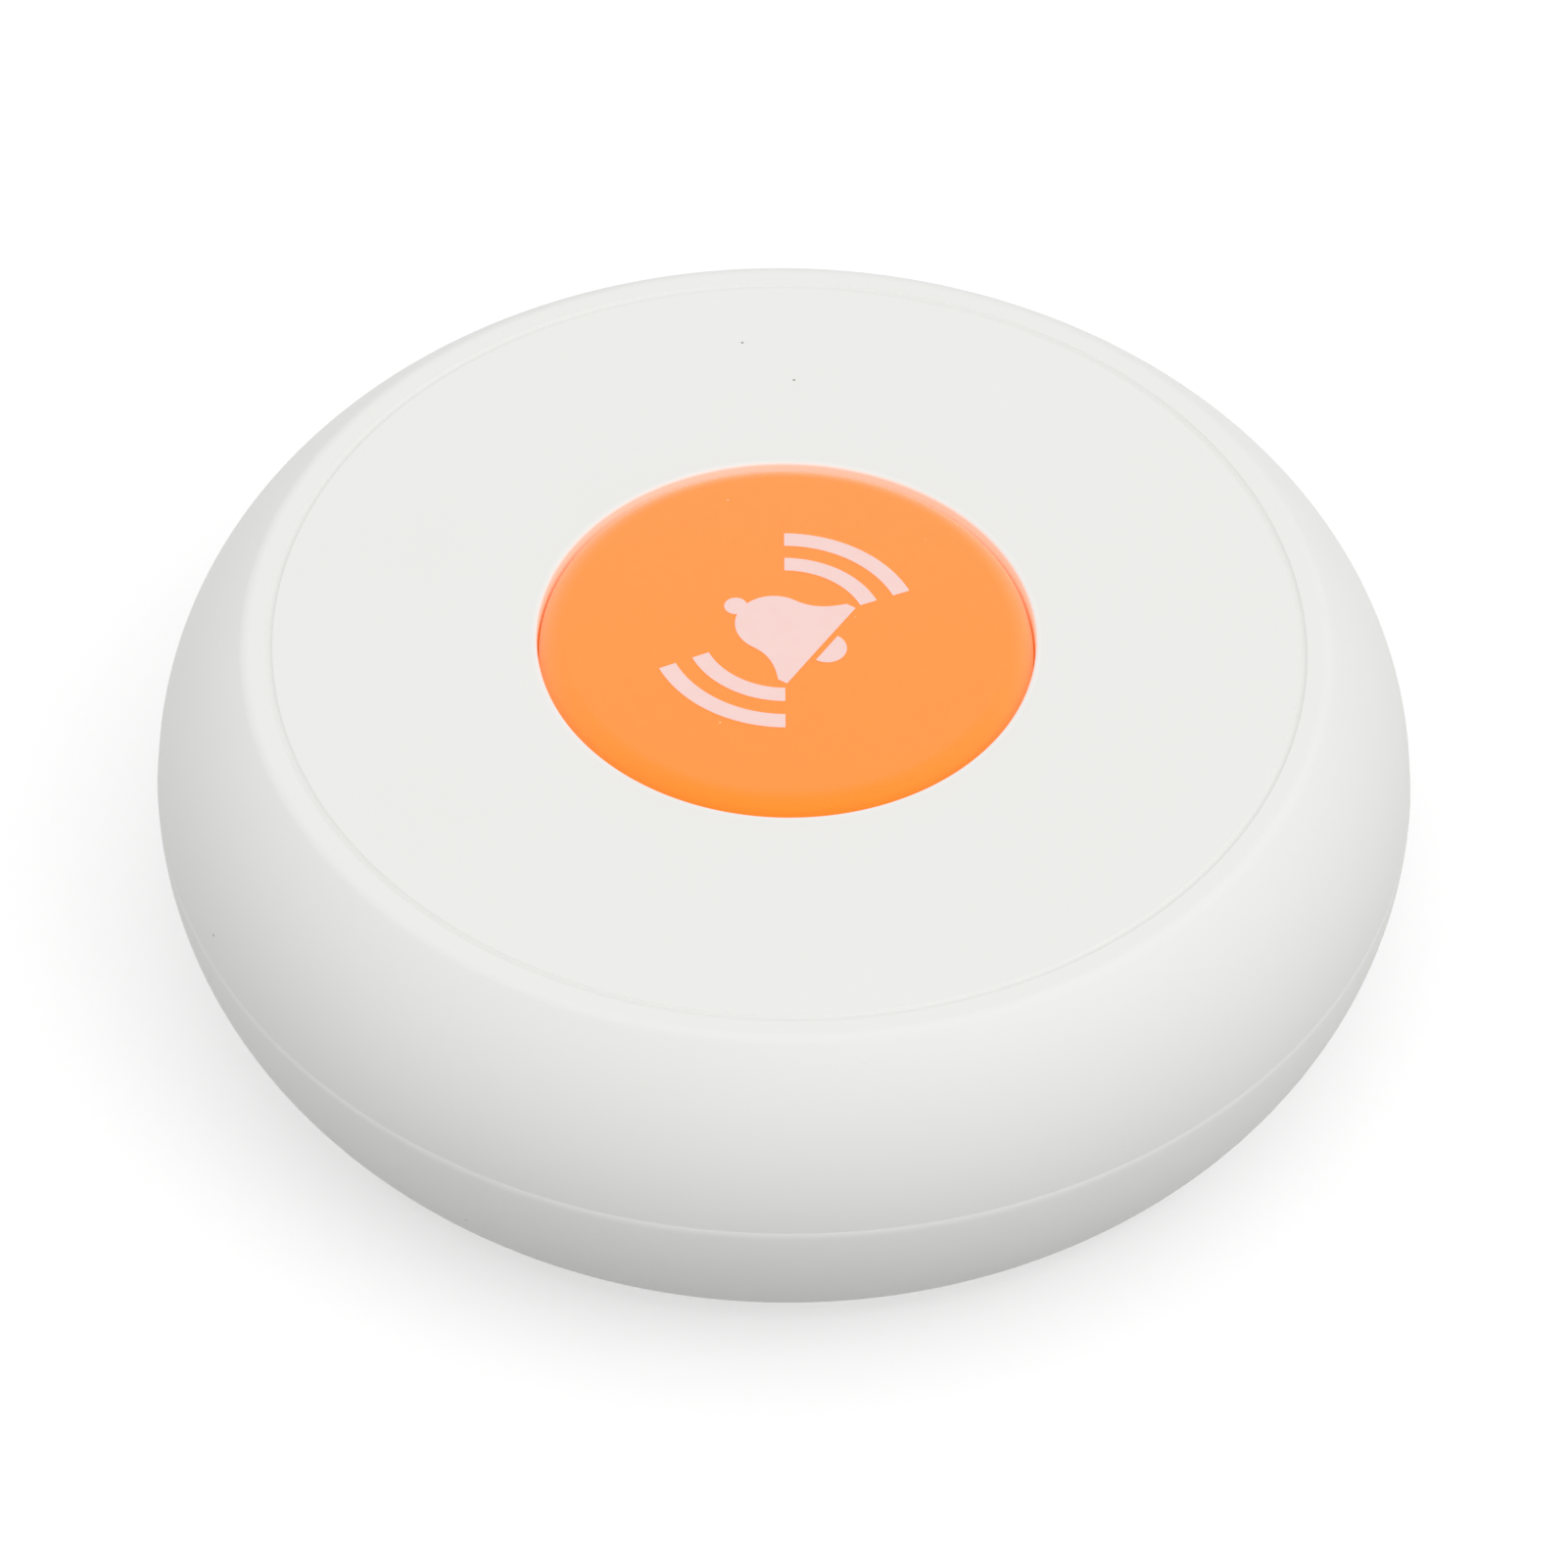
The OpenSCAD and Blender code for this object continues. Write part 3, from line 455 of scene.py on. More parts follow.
def surface(tree, shader, place, tones, patch, gloss, grain, relief):
    slow = node(tree, "ShaderNodeTexNoise", {
        "Vector": place, "Scale": per_mm(patch), "Detail": 3.0})
    tone = node(tree, "ShaderNodeMix", {
        0: slow.outputs["Fac"], 6: colour(tones[0]), 7: colour(tones[1])}, data_type="RGBA")
    fine = node(tree, "ShaderNodeTexNoise", {
        "Vector": place, "Scale": per_mm(grain), "Detail": 2.0})
    rough = node(tree, "ShaderNodeMapRange", {
        "Value": fine.outputs["Fac"], "From Min": NOISE_LOW, "From Max": NOISE_HIGH,
        "To Min": gloss[0], "To Max": gloss[1]})
    bump = node(tree, "ShaderNodeBump", {
        "Height": fine.outputs["Fac"], "Distance": relief * MM, "Strength": 1.0})
    tree.links.new(tone.outputs[2], shader.inputs["Base Color"])
    tree.links.new(rough.outputs[0], shader.inputs["Roughness"])
    tree.links.new(bump.outputs[0], shader.inputs["Normal"])
    return tone.outputs[2], bump


# %% Scattered specks of dust over a base colour
def dust(tree, shader, place, base, shade, spacing, size, share):
    cells = node(tree, "ShaderNodeTexVoronoi", {"Vector": place, "Scale": per_mm(spacing)})
    pick = node(tree, "ShaderNodeSeparateColor", {"Color": cells.outputs["Color"]})
    rare = node(tree, "ShaderNodeMath", {
        0: pick.outputs["Red"], 1: share}, operation="LESS_THAN")
    near = node(tree, "ShaderNodeMapRange", {
        "Value": cells.outputs["Distance"], "From Min": size / spacing,
        "From Max": 0.5 * size / spacing})
    mask = node(tree, "ShaderNodeMath", {
        0: near.outputs[0], 1: rare.outputs[0]}, operation="MULTIPLY")
    dusty = node(tree, "ShaderNodeMix", {
        0: mask.outputs[0], 6: base, 7: colour(shade)}, data_type="RGBA")
    tree.links.new(dusty.outputs[2], shader.inputs["Base Color"])


# %% [markdown]
# ### Satin white ABS
# The shells are moulded in ABS from a spark-eroded tool, which leaves a grain of about 0.05 mm.
# That gives the eye a calm satin face with no sharp reflections. The grain is drawn at 0.22 mm so
# that it shows. A very slow change in tone keeps the big flat from looking like paper, and a few
# specks of dust lie on it, as on any white object in a bright picture. White ABS also lets a little
# light through: some of what falls on the top face comes out again through the wall of the button's
# opening, and the orange cap lights that wall too. A faint peach emission close to that edge is
# painted light that stands in for both, so that the gap doesn't look dark.

# %% White shell
white_abs, tree, shader, place = recipe(
    "satin moulded ABS", IOR=1.5, Specular_IOR_Level=0.42, Emission_Color=(1.0, 0.85, 0.7, 1.0))
tone, bump = surface(tree, shader, place, ("#EBEBE8", "#EEEEEC"), patch=14,
                     gloss=(0.40, 0.48), grain=0.22, relief=0.002)
dust(tree, shader, place, tone, "#9C9890", spacing=3.0, size=0.09, share=0.3)

# %% Light through the wall of the opening
# painted light: a peach emission round the opening's edge, strongest at GLOW_AT and gone by
# GLOW_FAR
GLOW_AT = (opening_r * MM, (body_h - 0.5) * MM, 0)    # radius and height of the brightest ring
GLOW, GLOW_NEAR, GLOW_FAR = 0.2, 0.1, 0.6     # strength, and where it begins and ends to fade
level = node(tree, "ShaderNodeVectorMath", {0: place, 1: (1, 1, 0)}, operation="MULTIPLY")
out = node(tree, "ShaderNodeVectorMath", {0: level.outputs[0]}, operation="LENGTH")
height = node(tree, "ShaderNodeSeparateXYZ", {"Vector": place})
spot = node(tree, "ShaderNodeCombineXYZ", {
    "X": out.outputs["Value"], "Y": height.outputs["Z"]})
away = node(tree, "ShaderNodeVectorMath", {0: spot.outputs[0], 1: GLOW_AT}, operation="DISTANCE")
glow = node(tree, "ShaderNodeMapRange", {
    "Value": away.outputs["Value"], "From Min": GLOW_FAR * MM, "From Max": GLOW_NEAR * MM,
    "To Max": GLOW})
tree.links.new(glow.outputs[0], shader.inputs["Emission Strength"])
print("glow of", GLOW, "round the opening, out to", GLOW_FAR, "mm")

# %% [markdown]
# ### Soft-touch orange cap
# The button is moulded in orange ABS, and coated soft to the touch. The cap looks brighter than its
# surroundings, and a warm glow lies in the gap round it. A small orange emission paints that light
# on: it is painted light, since the cap is no lamp. The coating scatters light like velvet: a pale
# sheen lies over the top face, which is seen at a slant, and is missing on the front edge, which
# faces the camera and looks deeper. Fine pale dust clings to such a finish, and the photograph
# shows a few specks of it.

# %% Orange cap
# the emission below is painted light: it brightens the cap and lights the gap round it
orange_cap, tree, shader, place = recipe(
    "soft-touch ABS with painted glow", IOR=1.5, Specular_IOR_Level=0.08, Subsurface_Weight=0.5,
    Subsurface_Radius=(1.0, 0.6, 0.2), Subsurface_Scale=0.001, Sheen_Weight=0.6,
    Sheen_Roughness=0.6, Emission_Color=(1.0, 0.27, 0.004, 1.0), Emission_Strength=0.4)
tone, bump = surface(tree, shader, place, ("#FF7508", "#FF780C"), patch=6,
                     gloss=(0.50, 0.60), grain=0.18, relief=0.002)
dust(tree, shader, place, tone, "#FFE9D6", spacing=1.6, size=0.07, share=0.35)

# %% [markdown]
# ### Screen-printed ink
# The mark on the cap is a thin film of pale ink. A little of the orange shows through, so it looks
# pinkish white, and the screen's mesh leaves it very slightly uneven.

# %% Printed mark
printed_ink, tree, shader, place = recipe(
    "screen-printed ink", IOR=1.48, Specular_IOR_Level=0.3)
surface(tree, shader, place, ("#F8D2CC", "#FADAD5"), patch=0.8,
        gloss=(0.48, 0.58), grain=0.16, relief=0.001)

# %% [markdown]
# ### Rubbers and silicone
# The feet are dark nitrile rubber, dull and a little chalky. The seals are the same kind of rubber
# with a smoother skin. The membrane under the cap is milky silicone, which lets light into it.
# All three share one recipe of two close tones, a range of gloss and a fine grain, and only the
# silicone scatters light inside.

# %% Rubbers
foot_rubber, tree, shader, place = recipe("moulded nitrile rubber", Specular_IOR_Level=0.3)
surface(tree, shader, place, ("#37393B", "#454749"), patch=1.5,
        gloss=(0.70, 0.86), grain=0.15, relief=0.006)
seal_rubber, tree, shader, place = recipe("smooth nitrile rubber", Specular_IOR_Level=0.4)
surface(tree, shader, place, ("#292B2D", "#323436"), patch=1.2,
        gloss=(0.42, 0.55), grain=0.2, relief=0.002)
clear_silicone, tree, shader, place = recipe(
    "milky silicone", IOR=1.41, Subsurface_Weight=0.5, Subsurface_Scale=0.0008)
surface(tree, shader, place, ("#D6DAD8", "#E0E3E1"), patch=3,
        gloss=(0.28, 0.38), grain=0.3, relief=0.002)

# %% [markdown]
# ### Inside: plastics, board and chips
# The frame and the switch are black glass-filled nylon. The board is woven glass laminate under
# green solder mask: the weave shows as a fine square bump, and the copper under the mask as paler
# paths. Chips are moulded resin, and the small capacitors fired ceramic.

# %% Black nylon, resin, ceramic, light
black_plastic, tree, shader, place = recipe("glass-filled nylon", Specular_IOR_Level=0.4)
surface(tree, shader, place, ("#222426", "#2B2D2F"), patch=2,
        gloss=(0.45, 0.6), grain=0.2, relief=0.004)
chip_resin, tree, shader, place = recipe("moulded epoxy resin", Specular_IOR_Level=0.4)
surface(tree, shader, place, ("#1A1A1C", "#232325"), patch=1,
        gloss=(0.55, 0.7), grain=0.12, relief=0.004)
chip_ceramic, tree, shader, place = recipe("fired ceramic", Specular_IOR_Level=0.45)
surface(tree, shader, place, ("#B3966C", "#C4A87E"), patch=0.5,
        gloss=(0.35, 0.5), grain=0.08, relief=0.002)
light_resin, tree, shader, place = recipe(
    "clear resin on white", IOR=1.5, Subsurface_Weight=0.3, Subsurface_Scale=0.0005)
surface(tree, shader, place, ("#ECEDE0", "#F2F2E8"), patch=0.8,
        gloss=(0.12, 0.2), grain=0.2, relief=0.001)

# %% Solder mask over woven glass
TRACK_SPACING, TRACK_W = 2.4, 0.06    # in mm, and as a share of the spacing
YARN, YARN_RELIEF = 0.5, 0.004        # from one glass yarn to the next, and its relief, in mm
WAVE_UNIT = math.pi / 10              # one period of a Wave texture at scale 1
board_laminate, tree, shader, place = recipe(
    "solder mask on glass laminate", Specular_IOR_Level=0.5, Coat_Weight=0.3)
tone, bump = surface(tree, shader, place, ("#1C5638", "#236244"), patch=4,
                     gloss=(0.28, 0.4), grain=0.3, relief=0.001)
paths = node(tree, "ShaderNodeTexVoronoi", {
    "Vector": place, "Scale": per_mm(TRACK_SPACING)}, feature="DISTANCE_TO_EDGE")
path_mask = node(tree, "ShaderNodeMath", {
    0: paths.outputs["Distance"], 1: TRACK_W}, operation="LESS_THAN")
copper_below = node(tree, "ShaderNodeMix", {
    0: path_mask.outputs[0], 6: tone, 7: colour("#3B8058")}, data_type="RGBA")
tree.links.new(copper_below.outputs[2], shader.inputs["Base Color"])
yarns = [node(tree, "ShaderNodeTexWave", {
    "Vector": place, "Scale": per_mm(YARN) * WAVE_UNIT}, bands_direction=d) for d in "XY"]
weave = node(tree, "ShaderNodeMath", {
    0: yarns[0].outputs["Fac"], 1: yarns[1].outputs["Fac"]}, operation="MULTIPLY")
tree.links.new(weave.outputs[0], bump.inputs["Height"])
bump.inputs["Distance"].default_value = YARN_RELIEF * MM

# %% [markdown]
# ### Metals
# The screws are zinc plated and slightly cloudy. Contacts, shield and crystal can are tinned spring
# steel with fine rolling marks along the strip. The coin cell is nickel plated and turned, so it
# shows faint rings. The antenna is bare copper wire.

# %% Metals
STRETCH = 0.08        # rolling marks run along X: there the pattern is drawn out
TURNED_RING = 0.25    # from one turned line on the cell to the next, in mm
plated_steel, tree, shader, place = recipe("zinc-plated steel", Metallic=1.0)
surface(tree, shader, place, ("#B4B7BB", "#C2C4C7"), patch=0.8,
        gloss=(0.26, 0.42), grain=0.15, relief=0.002)
spring_steel, tree, shader, place = recipe("tinned spring steel", Metallic=1.0)
strip = node(tree, "ShaderNodeMapping", {"Vector": place, "Scale": (STRETCH, 1.0, 1.0)})
surface(tree, shader, strip.outputs[0], ("#BFC2C5", "#CDCFD1"), patch=1.5,
        gloss=(0.2, 0.34), grain=0.08, relief=0.001)
cell_steel, tree, shader, place = recipe("nickel-plated steel", Metallic=1.0)
tone, bump = surface(tree, shader, place, ("#C4C3BF", "#CFCEC9"), patch=2,
                     gloss=(0.2, 0.32), grain=0.1, relief=0.001)
rings = node(tree, "ShaderNodeTexWave", {
    "Vector": place, "Scale": per_mm(TURNED_RING) * WAVE_UNIT, "Distortion": 0.4},
    wave_type="RINGS", rings_direction="Z")
tree.links.new(rings.outputs["Fac"], bump.inputs["Height"])
copper_wire, tree, shader, place = recipe("bare copper", Metallic=1.0)
surface(tree, shader, place, ("#B06A3A", "#C27D4A"), patch=0.9,
        gloss=(0.24, 0.38), grain=0.1, relief=0.001)

# %% [markdown]
# ## The top cover
# A moulded white shell: a flat top with a fine ring groove, a round opening for the button, and a
# side that swells out like a pebble. A sphere, squashed and smoothed, would come close to it, but
# one outline on the lathe follows the measured radii. A narrow ring beside each rounding holds the
# flat next to it flat, because smooth shading would otherwise bend across it. Four screw bosses are
# added inside, and three notches are cut in the guide collar for the cap's lugs.

# %% Outline of the top cover
HOLD = 0.06           # distance of a holding ring from the rounding it guards
rim = rounding_centre(upper_centre, upper_side_r, body_h - bulge_z, rim_round)
rim_turn = angle_from(upper_centre, rim)
groove_r, groove_w, groove_depth = rim[0] - 0.9, 0.35, 0.13
groove_curve = (groove_w ** 2 / 4 + groove_depth ** 2) / (2 * groove_depth)
groove_half = math.degrees(math.asin(groove_w / 2 / groove_curve))
joint_r = upper_centre[0] + math.sqrt(upper_side_r ** 2 - (joint_z - bulge_z) ** 2)
lip_r, step_z = 28.8, 13.15


def height_angle(z, radius):
    return math.degrees(math.asin((z - bulge_z) / radius))


inner_r = upper_side_r - wall
cover_outline = (
    [(opening_r, collar_z)]
    + arc((opening_r + opening_round, body_h - opening_round), opening_round, 180, 90, 6)
    + [(opening_r + opening_round + HOLD, body_h), (groove_r - groove_w / 2 - HOLD, body_h)]
    + arc((groove_r, body_h - groove_depth + groove_curve), groove_curve,
          -90 - groove_half, -90 + groove_half, 12)
    + [(groove_r + groove_w / 2 + HOLD, body_h), (rim[0] - HOLD, body_h)]
    + arc(rim, rim_round, 90, rim_turn, 10)
    + arc(upper_centre, upper_side_r, rim_turn,
          height_angle(joint_z, upper_side_r), 44)[1:]
    + [(lip_r, joint_z), (lip_r, step_z)]
    + arc(upper_centre, inner_r,
          height_angle(step_z, inner_r), height_angle(ceiling_z, inner_r), 14)
    + [(collar_r, ceiling_z), (collar_r, collar_z), (opening_r, collar_z)])
top_cover = turn("cover_shell", cover_outline)
print("top cover turned from", len(cover_outline), "points")

# %% Bosses, bores and notches of the top cover
OVER = 0.1            # how far a cut or a join passes through
SMALL_SIDES = 48      # steps round a bore or a dot
boss_r, bore_r, bore_top_z = 2.6, 1.3, 16.8
notch_r, notch_top_z, NOTCH_SWEEP = lug_r + 0.2, lug_top_z + 0.05, 18
boss = turn("boss", rod(seat_z, ceiling_z + OVER, boss_r), INNER_SIDES)
combine(top_cover, copies(boss, screw_angles, screw_circle_r), "UNION")
bore = turn("bore", rod(seat_z - OVER, bore_top_z, bore_r), SMALL_SIDES)
combine(top_cover, copies(bore, screw_angles, screw_circle_r), "DIFFERENCE")
notch = sector("notch", opening_r - OVER, notch_r, collar_z - OVER, notch_top_z, 0, NOTCH_SWEEP)
combine(top_cover, copies(notch, three_ways), "DIFFERENCE")
polish(top_cover)
dress(top_cover, "housing", white_abs, "white_shell", "top_cover")

# %% [markdown]
# ## The base
# The lower shell closes the puck: it curves in under the joint line, and its flat underside carries
# four feet and the battery door. The lathe makes the shell with its tongue. The screw wells are one
# stepped outline, turned once and copied to the four corners, and then cut out. Three cylinders
# for each well would do too, but one tool makes one clean cut.

# %% Outline of the base
base_rim = rounding_centre(lower_centre, lower_side_r, base_z - bulge_z, base_round)
tongue_r, tongue_inner_r, tongue_top_z = 28.7, 27.4, 12.35
door_hole_r, door_well_r, door_seat_z, door_notch_r = 10.6, 14.05, 2.0, 12.1
EASE = 0.12           # a moulded edge is never quite sharp
base_inner_r = lower_side_r - wall
base_outline = (
    [(door_hole_r, floor_z), (door_hole_r, door_seat_z), (door_well_r, door_seat_z)]
    + arc((door_well_r + EASE, base_z + EASE), EASE, 180, 270, 5)
    + [(door_well_r + EASE + HOLD, base_z), (base_rim[0] - HOLD, base_z)]
    + arc(base_rim, base_round, -90, angle_from(lower_centre, base_rim), 12)
    + arc(lower_centre, lower_side_r, angle_from(lower_centre, base_rim), 0, 40)[1:]
    + [(joint_r, joint_z), (tongue_r, joint_z), (tongue_r, tongue_top_z),
       (tongue_inner_r, tongue_top_z)]
    + arc(lower_centre, base_inner_r,
          -math.degrees(math.acos((tongue_inner_r - lower_centre[0]) / base_inner_r)),
          height_angle(floor_z, base_inner_r), 14)
    + [(door_hole_r, floor_z)])
base = turn("base_shell", base_outline)
print("base turned from", len(base_outline), "points")

# %% Posts and screw wells of the base
post_r, foot_well_r, foot_seat_z = 3.6, 3.6, 1.5
head_well_r, head_seat_z, shank_r = 2.5, 4.6, 1.45
post = turn("post", rod(floor_z - OVER, frame_z, post_r), INNER_SIDES)
combine(base, copies(post, screw_angles, screw_circle_r), "UNION")
well = turn("well", [
    (0, base_z - OVER), (foot_well_r, base_z - OVER), (foot_well_r, foot_seat_z),
    (head_well_r, foot_seat_z), (head_well_r, head_seat_z), (shank_r, head_seat_z),
    (shank_r, frame_z + OVER), (0, frame_z + OVER)], INNER_SIDES)
combine(base, copies(well, screw_angles, screw_circle_r), "DIFFERENCE")
print("base: posts and wells at", screw_angles)

# %% Notches that let the door's lugs in, and stops for its turn
FIRST_LUG, DOOR_TURN = 10, 40     # degrees: the first lug of the locked door, and its way to open
DOOR_NOTCH_SWEEP, STOP_SWEEP = 28, 3
STOP_AT = (14.1, -56.1)           # degrees from a locked lug
stop_r, stop_top_z = door_hole_r + 0.2, 3.65
locked_lugs = [FIRST_LUG + angle for angle in three_ways]
open_lugs = [angle - DOOR_TURN for angle in locked_lugs]
notch = sector("door_notch", door_hole_r - OVER, door_notch_r, door_seat_z - OVER,
               floor_z + OVER, 0, DOOR_NOTCH_SWEEP)
combine(base, copies(notch, open_lugs), "DIFFERENCE")
stop = sector("stop", stop_r, door_notch_r, floor_z - OVER, stop_top_z, 0, STOP_SWEEP, 3)
stops = [angle + a for angle in locked_lugs for a in STOP_AT]
combine(base, copies(stop, stops), "UNION")
print("door: locked lugs at", locked_lugs, "and open at", open_lugs)

# %% Sunk dots and a line that show the door's turn
MARK_R, MARKS, LINE_MIDDLE = 16.35, (110, 70), 90     # radius in mm, angles in degrees
LINE_W, LINE_DEPTH = 0.4, 0.15
DOT_R, DOT_WALL, DOT_ROUND, DOT_DEPTH = 0.6, 0.1, 0.3, 0.4


def dot_tool(name, z):
    outline = (
        [(0, z - OVER), (DOT_R, z - OVER), (DOT_R, z + DOT_WALL)]
        + arc((DOT_ROUND, z + DOT_WALL), DOT_ROUND, 0, 90, 4)[1:]
        + [(0, z + DOT_DEPTH)])
    return turn(name, outline, SMALL_SIDES)


combine(base, copies(dot_tool("dot", base_z), MARKS, MARK_R), "DIFFERENCE")
line = sector("line", MARK_R - LINE_W / 2, MARK_R + LINE_W / 2, base_z - OVER,
              base_z + LINE_DEPTH, LINE_MIDDLE, DOOR_TURN, 32)
combine(base, line, "DIFFERENCE")
polish(base)
dress(base, "housing", white_abs, "white_shell", "base_cover")

# %% [markdown]
# ## The push button
# The orange cap is a shallow dome with a rounded edge that sinks into the opening. Its skirt, the
# pusher in the middle, three lugs that keep it in and four ribs are inside. The crown rises by less
# than 0.2 mm, but it gives the cap its own soft shade. A cylinder with a bevel would have a flat
# top, so the crown is drawn as an arc of the outline.

# %% Cap
crown_centre = (0, crown_z - crown_r)
crown_half = math.degrees(math.asin((cap_r - cap_round) / (crown_r - cap_round)))
cap_edge = arc(crown_centre, crown_r - cap_round, 90, 90 - crown_half, 1)[1]
skirt_r, pusher_r = cap_r - 1.6, 2.2
lug_root_r, LUG_SWEEP = cap_r - 0.8, 16
RIB_W, RIB_H, RIB_ANGLES = 1.0, 1.2, (45, 135)
cap_outline = (
    arc(crown_centre, crown_r, 90, 90 - crown_half, 14)
    + arc(cap_edge, cap_round, 90 - crown_half, 0, 18)[1:]
    + [(cap_r, cap_edge[1] - HOLD), (cap_r, lug_z), (skirt_r, lug_z), (skirt_r, cap_face_z),
       (pusher_r, cap_face_z), (pusher_r, pad_top_z), (0, pad_top_z)])
cap = turn("push_cap", cap_outline)
lug = sector("lug", lug_root_r, lug_r, lug_z, lug_top_z, 0, LUG_SWEEP)
combine(cap, copies(lug, three_ways), "UNION")
for angle in RIB_ANGLES:
    take(None)
    bpy.ops.mesh.primitive_cube_add(size=MM)
    rib = bpy.context.object
    rib.scale = (2 * (skirt_r + OVER), RIB_W, RIB_H + OVER)
    rib.location.z = (cap_face_z + (OVER - RIB_H) / 2) * MM
    rib.rotation_euler.z = math.radians(angle)
    bpy.ops.object.transform_apply(location=True, rotation=True, scale=True)
    combine(cap, rib, "UNION")
polish(cap)
dress(cap, "button", orange_cap, "orange_cap", "button_cap")

# %% [markdown]
# ## The printed mark
# A call button carries a mark that says what it does. Here it is a plain bell with sound waves on
# both sides, printed in pale ink and turned as the print in the photograph is. A picture on the
# cap's material would do too, but a film of its own stays sharp at any distance. The bell is drawn
# flat: its body is one edge, extruded upwards row by row and scaled to the bell's width. The waves
# are short edges that Spin sweeps through an arc. The flat drawing is then laid on the crown with
# Shrinkwrap and given the thickness of ink.

# %% Heights and half widths of the bell, from its lip up to its knob, in millimetres
BELL_FOOT, BELL_SHOULDER, BELL_R, BELL_FLARE = -1.95, 0.7, 1.85, 3.0
BELL_LIP, SWEEP_POWER, ROW_STEPS = 0.5, 2.2, 14
NECK, KNOB_R, KNOB_END = 0.42, 0.55, 86


def bell_rows():
    rows = [(BELL_FOOT, BELL_FLARE)]
    for i in range(ROW_STEPS + 1):
        t = i / ROW_STEPS
        widen = (BELL_FLARE - BELL_R) * (1 - t) ** SWEEP_POWER
        height = BELL_FOOT + BELL_LIP + (BELL_SHOULDER - BELL_FOOT - BELL_LIP) * t
        rows.append((height, BELL_R + widen))
    neck = math.degrees(math.acos(NECK / BELL_R))
    dome = arc((0, BELL_SHOULDER), BELL_R, 0, neck, ROW_STEPS)[1:]
    under = math.degrees(math.acos(NECK / KNOB_R))
    knob_z = dome[-1][1] + math.sqrt(KNOB_R ** 2 - NECK ** 2)
    knob = arc((0, knob_z), KNOB_R, -under, KNOB_END, ROW_STEPS)[1:]
    return rows + [(z, r) for r, z in dome + knob]


# %% One edge to draw with: a flat square without its front corners
def one_edge(name, length):
    take(None)
    bpy.ops.mesh.primitive_plane_add(size=length * MM)
    piece = bpy.context.object
    piece.name = name
    bpy.ops.object.mode_set(mode="EDIT")
    bpy.ops.mesh.select_mode(type="VERT")
    bpy.ops.mesh.select_all(action="DESELECT")
    drawing = bmesh.from_edit_mesh(piece.data)
    for vertex in drawing.verts:
        vertex.select = vertex.co.y < 0
    bmesh.update_edit_mesh(piece.data)
    bpy.ops.mesh.delete(type="VERT")
    bpy.ops.mesh.select_all(action="SELECT")
    return piece


# %% Bell body and clapper
CLAPPER_R, CLAPPER_DROP, CLAPPER_GAP = 0.95, 0.3, 0.35


def flat_disc(name, radius, at):
    take(None)
    bpy.ops.mesh.primitive_circle_add(
        vertices=SMALL_SIDES, radius=radius * MM, fill_type="TRIFAN", location=(0, at * MM, 0))
    disc = bpy.context.object
    disc.name = name
    bpy.ops.object.transform_apply(location=True)
    return disc


rows = bell_rows()
bell = one_edge("bell_mark", 2 * rows[0][1])
bpy.ops.transform.translate(value=(0, (rows[0][0] - rows[0][1]) * MM, 0))
for (low, narrow), (high, wide) in zip(rows, rows[1:]):
    bpy.ops.mesh.extrude_region_move(TRANSFORM_OT_translate={"value": (0, (high - low) * MM, 0)})
    bpy.ops.transform.resize(value=(wide / narrow, 1, 1), center_override=(0, high * MM, 0))
bpy.ops.object.mode_set(mode="OBJECT")
clapper = flat_disc("clapper", CLAPPER_R, BELL_FOOT - CLAPPER_DROP)
bpy.ops.object.mode_set(mode="EDIT")
bpy.ops.mesh.select_all(action="SELECT")
bpy.ops.mesh.bisect(
    plane_co=(0, (BELL_FOOT - CLAPPER_GAP) * MM, 0), plane_no=(0, 1, 0), clear_outer=True)
bpy.ops.object.mode_set(mode="OBJECT")
print("bell of", len(rows), "rows, with its clapper")

# %% Sound waves
WAVE_W, WAVE_SPAN, WAVE_CENTRE = 0.85, 66, 0.1
WAVE_RADII, WAVE_STEPS = (4.35, 6.05), 28


def sound_wave(radius, facing):
    wave = one_edge("wave", WAVE_W)
    bpy.ops.transform.translate(value=(radius * MM, -WAVE_W / 2 * MM, 0))
    bpy.ops.mesh.spin(
        steps=WAVE_STEPS, angle=math.radians(WAVE_SPAN), center=(0, 0, 0), axis=(0, 0, 1))
    bpy.ops.object.mode_set(mode="OBJECT")
    wave.rotation_euler.z = math.radians(facing) - middle_of(wave)
    bpy.ops.object.transform_apply(rotation=True)
    wave.location.y = WAVE_CENTRE * MM
    bpy.ops.object.transform_apply(location=True)
    return wave


waves = [sound_wave(radius, facing) for facing in (0, 180) for radius in WAVE_RADII]
print(len(waves), "sound waves")

# %% Lay the mark on the crown
MARK_TURN = 58        # the mark reads along this direction, counted from the camera's right
INK, SUNK = 0.03, 0.01    # thickness of the ink, and how deep it sits in the cap
ABOVE = 1.0               # the drawing starts this far over the crown
bell = join([bell, clapper, *waves])
bell.rotation_euler.z = math.radians(MARK_TURN)
bell.location.z = (crown_z + ABOVE) * MM
bpy.ops.object.transform_apply(location=True, rotation=True)
bpy.ops.object.mode_set(mode="EDIT")
bpy.ops.mesh.select_all(action="SELECT")
bpy.ops.mesh.remove_doubles(threshold=MERGE)
bpy.ops.mesh.subdivide(number_cuts=2)
bpy.ops.mesh.normals_make_consistent(inside=False)
bpy.ops.object.mode_set(mode="OBJECT")
lay = bell.modifiers.new("lay", "SHRINKWRAP")
lay.target = cap
lay.wrap_method = "PROJECT"
lay.use_project_z = True
lay.use_negative_direction = True
lay.offset = -SUNK * MM
bpy.ops.object.modifier_apply(modifier=lay.name)
film = bell.modifiers.new("film", "SOLIDIFY")
film.thickness = INK * MM
film.offset = 1.0
bpy.ops.object.modifier_apply(modifier=film.name)
polish(bell)
bell.data.materials.append(printed_ink)
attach(bell, "button")

